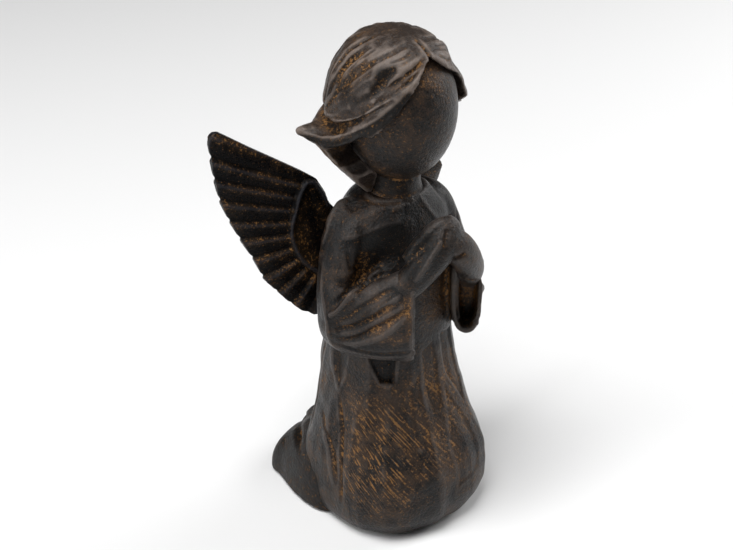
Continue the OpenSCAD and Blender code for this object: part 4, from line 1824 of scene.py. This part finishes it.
@dataclass
class Hand:
    """One of the clasped hands.

    A row is distance out, distance ahead, height, half-width and half-thickness.
    """

    side: Side = Side.RIGHT
    voxel: float = 0.7
    rows: tuple = (
        (27, 30, 157, 6.5, 6.5),
        (22, 35.5, 166, 7.5, 8),
        (16.5, 39.5, 174, 7.5, 8.8),
        (11, 42.3, 181.5, 7.5, 9.3),
        (5.5, 43.8, 188.5, 7.3, 9.3),
        (1, 44, 194, 6.6, 8.3),
        (-2, 43.8, 198, 4.8, 6),
        (-3.8, 43.5, 200.5, 2.4, 3),
    )
    thumb: tuple = (
        (19, 33, 178, 4.5, 4.5),
        (15.5, 36, 185, 5.0, 5.2),
        (11.5, 38.5, 191, 5.0, 5.2),
        (7, 40, 196, 4.6, 4.8),
        (2.5, 41.5, 199.3, 3.8, 4.0),
        (-0.5, 42.5, 201, 2.2, 2.4),
    )
    run: tuple = (0.58, -0.3, 0.76)
    shift: tuple = (0.0, -2.0, -6.0)

    def rings(self) -> list[list[np.ndarray]]:
        """Rings of the hand from wrist to finger tips, and of the thumb.

        Returns:
            Rings of the palm, and on the right hand of the thumb too.
        """
        skins = []
        for rows in (self.rows, self.thumb):
            made = [
                band((-out, -ahead, z), self.run, wide, high, 2.2)
                for out, ahead, z, wide, high in eased(rows, 3)
            ]
            if self.side is Side.LEFT:
                made = [ring + np.array(self.shift) for ring in mirrored(made, Side.LEFT)]
            skins.append(made)
        return skins if self.side is Side.RIGHT else skins[:1]

    def build(self, palette: Palette) -> bpy.types.Object:
        """Model, sculpt and dress the piece.

        Args:
            palette: The materials.

        Returns:
            The piece.
        """
        name = f"{self.side.name.lower()}_hand"
        thing = skin_object(f"{name}_cast", self.rings())
        remesh(thing, self.voxel)
        tool = Carver(thing)
        tool.relax(2)
        tool.carve(HAND_STROKES[self.side])
        if self.side is Side.RIGHT:
            # Painted shade in the hollow of the hand.
            tool.deep += tool.patches(HAND_SHADES)
        tool.finish()
        dress(thing, palette.skin, (name,))
        return thing


HAND_STROKES = {
    Side.RIGHT: (
        Stroke(((29, 183), (25, 187), (20, 191), (13, 195)), 4.4, 1.5, taper=0.5, both=False),
        Stroke(((29, 172), (23, 180), (17, 188), (11, 194)), 1.6, 1.3, Cut.RIDGE, both=False),
        Stroke(((6, 199), (9, 194), (11, 189)), 1.3, 1.0, Cut.GROOVE, 0.1, both=False),
    ),
    Side.LEFT: (
        Stroke(((12, 188), (7, 189), (2, 190)), 1.3, 1.4, Cut.GROOVE, 0.3, both=False),
        Stroke(((-4, 184), (2, 182), (8, 180)), 1.6, 1.6, Cut.GROOVE, 0.3, both=False),
        Stroke(((-24, 156), (-16, 160), (-6, 168)), 2.0, 0.8, Cut.GROOVE, 0.4, both=False),
    ),
}
# Patches of painted shade in the hollow of the right hand.
HAND_SHADES = ((28, 184, 7, 1.0), (20, 192, 7, 0.9), (32, 178, 6, 0.6))


@dataclass
class Wing:
    """One wing in its own plane, with fanned feathers and a covert pad.

    Points are distances out and up from the root. The lines in feathers part one feather from
    the next. The crest is the share of a feather's width at which it is highest.
    """

    side: Side = Side.RIGHT
    voxel: float = 0.7
    thick: float = 5.6
    sweep: float = 14.0
    lean: float = 8.8
    root: tuple = (-20.0, 28.0, 160.0)
    crest: float = 0.26
    gilt_at: float = 0.24
    full_width: float = 9.0
    feather_height: float = 1.7
    edge: tuple = (
        (-14, 8),
        (1, 27),
        (4, 36),
        (8, 43),
        (16, 49),
        (44, 68),
        (58, 78),
        (61, 80),
        (64, 80),
        (66, 78),
        (67, 74),
        (66, 56),
        (64, 42),
        (60, 30),
        (54, 16),
        (48, 4),
        (43, -9),
        (31, -24),
        (23, -32),
        (16, -36),
        (8, -36),
        (-4, -30),
        (-14, -12),
    )
    covert: tuple = (
        (2, 28),
        (5, 36),
        (9, 42),
        (15, 43),
        (20, 37),
        (23, 29),
        (26, 21),
        (27, 14),
        (25, 5),
        (21, -3),
        (12, -12),
    )
    feathers: tuple = (
        ((6, 48), (70, 86)),
        ((8, 38), (70, 69)),
        ((10, 32), (70, 57)),
        ((12, 26), (70, 45)),
        ((14, 20), (68, 32)),
        ((15, 14), (64, 20)),
        ((15, 8), (58, 6)),
        ((14, 3), (52, -8)),
        ((12, -2), (43, -20)),
        ((9, -6), (33, -30)),
        ((5, -8), (22, -38)),
        ((-2, -10), (6, -44)),
    )

    def axes(self) -> tuple[np.ndarray, np.ndarray, np.ndarray]:
        """Give the outward, upward and rearward directions of the right wing.

        Returns:
            The three unit vectors.
        """
        turn = Matrix.Rotation(math.radians(-self.sweep), 3, "Z")
        tilt = Matrix.Rotation(math.radians(-self.lean), 3, "X")
        place = turn @ tilt
        out, up = place @ Vector((-1, 0, 0)), place @ Vector((0, 0, 1))
        return np.array(out), np.array(up), np.array(place @ Vector((0, 1, 0)))

    def blank(self) -> bpy.types.Object:
        """Make the slab of the wing.

        Returns:
            The slab.
        """
        out, up, back = self.axes()
        root, half = np.array(self.root), 0.5 * self.thick
        places = [root + u * out + v * up - half * back for u, v in self.edge]
        return prism(f"{self.side.name.lower()}_wing_cast", places, Vector(back) * self.thick)

    def relief(self, u: np.ndarray, v: np.ndarray) -> tuple[np.ndarray, np.ndarray]:
        """Work out the height and the paint of the feathers.

        Args:
            u: Distance out from the root.
            v: Distance up from the root.

        Returns:
            Height in millimetres and paint.
        """
        spans = []
        for (u0, v0), (u1, v1) in self.feathers:
            size = math.hypot(u1 - u0, v1 - v0)
            spans.append(((v - v0) * (u1 - u0) - (u - u0) * (v1 - v0)) / size)
        height, paint = np.zeros(len(u)), np.zeros(len(u))
        for above, below in zip(spans, spans[1:]):
            inside = (above < 0) & (below >= 0)
            part = np.clip(-above / np.maximum(below - above, 1e-6), 0, 1)
            rise = np.clip(part / self.crest, 0, 1) ** 0.75
            fall = np.clip((1 - part) / (1 - self.crest), 0, 1) ** 0.9
            shape = rise * np.where(part > self.crest, fall, 1)
            wide = np.clip((below - above) / self.full_width, 0.35, 1.2)
            height = np.where(inside, shape * wide, height)
            gilt = np.exp(-(((part - self.gilt_at) / self.crest) ** 2))
            paint = np.where(inside, gilt, paint)
        return height, paint

    def pad(self, u: np.ndarray, v: np.ndarray) -> np.ndarray:
        """Give the distance from the rim of the covert pad, positive inside.

        Args:
            u: Distance out from the root.
            v: Distance up from the root.

        Returns:
            The distances in millimetres.
        """
        loop = eased(self.covert)
        places = np.column_stack([u, v])
        best = np.full(len(u), np.inf)
        sign = np.ones(len(u))
        for a, b in zip(loop, loop[1:]):
            run = b - a
            t = np.clip((places - a) @ run / (run @ run), 0, 1)
            gap = places - a - t[:, None] * run
            far = np.linalg.norm(gap, axis=1)
            closer = far < best
            best[closer] = far[closer]
            sign[closer] = np.sign(gap[closer, 1] * run[0] - gap[closer, 0] * run[1])
        return -best * sign

    def build(self, palette: Palette) -> bpy.types.Object:
        """Model, sculpt and dress the piece.

        Args:
            palette: The materials.

        Returns:
            The piece.
        """
        thing = self.blank()
        remesh(thing, self.voxel)
        tool = Carver(thing)
        out, up, back = self.axes()
        local = tool.co - np.array(self.root)
        u, v, w = local @ out, local @ up, local @ back
        rim = self.rim_distance(u, v)
        thin = 0.42 + 0.58 * np.clip(rim / 7.0, 0, 1) ** 0.7
        lead = np.clip((v - 0.66 * u - 30) / 10.0, 0, 1)
        thin = np.maximum(thin, 0.75 * lead)
        height, paint = self.relief(u, v)
        inside = self.pad(u, v)
        cover = np.clip(inside / 1.2 + 0.5, 0, 1)
        lip = np.exp(-(((inside - 1.0) / 1.1) ** 2))
        level = thin * self.thick / 2 - 1.0 + self.feather_height * height * (1 - cover)
        level += cover * (2.4 - 1.6 * np.clip((inside - 1) / 7, 0, 1)) + 0.7 * lip
        side = np.clip(w / (0.5 * self.thick - 0.7), -1, 1)
        notch = self.notches(u, v, rim)
        tool.co += np.outer(side * level - w, back)
        tool.co -= np.outer(notch * 0.8, out) + np.outer(notch * 0.1, up)
        tool.refresh()
        tool.relax(2)
        streak = np.exp(-(((inside - 6) / 5) ** 2)) * cover
        tool.wash = np.abs(side) * (paint * (1 - cover) + 0.8 * streak) - 0.05
        if self.side is Side.LEFT:
            tool.co[:, 0] *= -1
            bm = bmesh.new()
            bm.from_mesh(thing.data)
            bmesh.ops.reverse_faces(bm, faces=bm.faces)
            bm.to_mesh(thing.data)
            bm.free()
        tool.finish(cavity=0.2)
        dress(thing, palette.wing, (f"{self.side.name.lower()}_wing",))
        return thing

    def rim_distance(self, u: np.ndarray, v: np.ndarray) -> np.ndarray:
        """Give the distance of each point from the outline.

        Args:
            u: Distance out from the root.
            v: Distance up from the root.

        Returns:
            The distances in millimetres.
        """
        places = np.column_stack([u, v])
        loop = np.array(self.edge + self.edge[:1], dtype=float)
        best = np.full(len(u), np.inf)
        for a, b in zip(loop, loop[1:]):
            run = b - a
            t = np.clip((places - a) @ run / (run @ run), 0, 1)
            best = np.minimum(best, np.linalg.norm(places - a - t[:, None] * run, axis=1))
        return best

    def notches(self, u: np.ndarray, v: np.ndarray, rim: np.ndarray) -> np.ndarray:
        """Give how far the trailing edge is nicked between the feathers.

        Args:
            u: Distance out from the root.
            v: Distance up from the root.
            rim: Distance from the outline.

        Returns:
            The amounts from 0 upwards.
        """
        amount = np.zeros(len(u))
        for (u0, v0), (u1, v1) in self.feathers[1:]:
            size = math.hypot(u1 - u0, v1 - v0)
            off = ((v - v0) * (u1 - u0) - (u - u0) * (v1 - v0)) / size
            ahead = ((u - u0) * (u1 - u0) + (v - v0) * (v1 - v0)) / size
            amount += np.exp(-((off / 1.3) ** 2)) * (ahead > 0.5 * size)
        return amount * np.exp(-((rim / 3.0) ** 2)) * (u > 8)


@dataclass
class FeltPad:
    """The felt under the foot, with a slightly uneven cut edge."""

    least: float = 0.1
    inset: float = 0.8
    core: float = 15.0

    def build(self, palette: Palette) -> bpy.types.Object:
        """Model and dress the piece.

        Args:
            palette: The materials.

        Returns:
            The felt.
        """
        low, high = (np.array(corner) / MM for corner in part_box("base_felt"))
        rng = np.random.default_rng(5)
        thing = carried_copy("base_felt", "felt_pad")
        tool = Carver(thing)
        middle = (low + high) / 2
        out = tool.co[:, :2] - middle[:2]
        size = np.linalg.norm(out, axis=1, keepdims=True).clip(1e-6)
        trim = rng.uniform(self.least, self.inset, (tool.count, 1))
        tool.co[:, :2] -= out / size * trim * (size > self.core)
        tool.refresh()
        dress(thing, palette.felt, ("base_felt",))
        thing.data.shade_flat()
        return thing


def carried_copy(node: str, name: str) -> bpy.types.Object:
    """Make an object from a merged copy of a CAD node's mesh.

    Args:
        node: Name of the CAD node.
        name: Name of the object.

    Returns:
        The object, linked to the scene.
    """
    source = bpy.data.objects[node]
    mesh = source.data.copy()
    mesh.transform(source.matrix_world)
    bm = bmesh.new()
    bm.from_mesh(mesh)
    bmesh.ops.remove_doubles(bm, verts=bm.verts, dist=0.01 * MM)
    return object_from(bm, name)


# ---------------------------------------------------------------- stage


@dataclass
class Stage:
    """Camera, floor and studio light."""

    turn: float = -40.0
    rise: float = 31.0
    distance: float = 0.950
    aim: tuple = (-0.01187, 0.00997, 0.1475)
    lens: float = 84.18
    sensor: float = 36.0
    floor_half: float = 6.0
    pale: tuple = (0.76, 0.76, 0.76, 1.0)
    lit_at: tuple = (0.0, 0.0, 0.15)
    room: float = 0.07

    def camera(self) -> None:
        """Place the camera."""
        a, e = math.radians(self.turn), math.radians(self.rise)
        back = Vector((math.sin(a) * math.cos(e), -math.cos(a) * math.cos(e), math.sin(e)))
        data = bpy.data.cameras.new("view")
        data.lens, data.sensor_width, data.sensor_fit = self.lens, self.sensor, "HORIZONTAL"
        made = bpy.data.objects.new("view", data)
        made.location = Vector(self.aim) + back * self.distance
        made.rotation_euler = back.to_track_quat("Z", "Y").to_euler()
        bpy.context.scene.collection.objects.link(made)
        bpy.context.scene.camera = made

    def floor(self) -> None:
        """Lay a plain pale floor."""
        bm = bmesh.new()
        bmesh.ops.create_grid(bm, x_segments=1, y_segments=1, size=self.floor_half)
        made = object_from(bm, "floor")
        paper = bpy.data.materials.new("paper")
        paper.use_nodes = True
        skin = paper.node_tree.nodes["Principled BSDF"]
        skin.inputs["Base Color"].default_value = self.pale
        skin.inputs["Roughness"].default_value = 1.0
        skin.inputs["Specular IOR Level"].default_value = 0.0
        made.data.materials.append(paper)

    def lights(self) -> None:
        """Hang the soft boxes and set the room light."""
        for name, place, size, power in LIGHTS:
            data = bpy.data.lights.new(name, "AREA")
            data.shape, data.size, data.energy = "SQUARE", size, power
            made = bpy.data.objects.new(name, data)
            made.location = place
            look = Vector(place) - Vector(self.lit_at)
            made.rotation_euler = look.to_track_quat("Z", "Y").to_euler()
            bpy.context.scene.collection.objects.link(made)
        world = bpy.data.worlds.new("room")
        world.use_nodes = True
        sky = world.node_tree.nodes["Background"]
        sky.inputs["Color"].default_value = (1, 1, 1, 1)
        sky.inputs["Strength"].default_value = self.room
        bpy.context.scene.world = world
        bpy.context.scene.view_settings.view_transform = "Standard"


LIGHTS = (
    ("top_box", (-0.45, -0.1, 1.5), 0.8, 25.0),
    ("left_box", (-1.5, 0.5, 0.8), 0.9, 13.0),
    ("right_box", (1.3, -0.3, 0.8), 0.9, 17.0),
)


def dress_carried(palette: Palette) -> None:
    """Give the hidden dowels, wires and plug their finishes.

    Args:
        palette: The materials.
    """
    for names, paint in (
        (CARRIED_WOOD, palette.wood),
        (CARRIED_STEEL, palette.steel),
        (("base_plug",), palette.plug),
    ):
        for name in names:
            mesh = bpy.data.objects[name].data
            if mesh.materials:
                mesh.materials[0] = paint
            else:
                mesh.materials.append(paint)


def main() -> None:
    """Build the figurine on its stage."""
    logging.basicConfig(level=logging.INFO, format="%(message)s")
    stage = Stage()
    stage.camera()
    stage.floor()
    stage.lights()
    palette = Palette()
    head = Head()
    Robe().build(palette)
    Legs().build(palette)
    head.build(palette)
    Hair().build(palette, head)
    for side in Side:
        Hand(side).build(palette)
        Wing(side).build(palette)
    FeltPad().build(palette)
    dress_carried(palette)


if __name__ == "__main__":
    main()
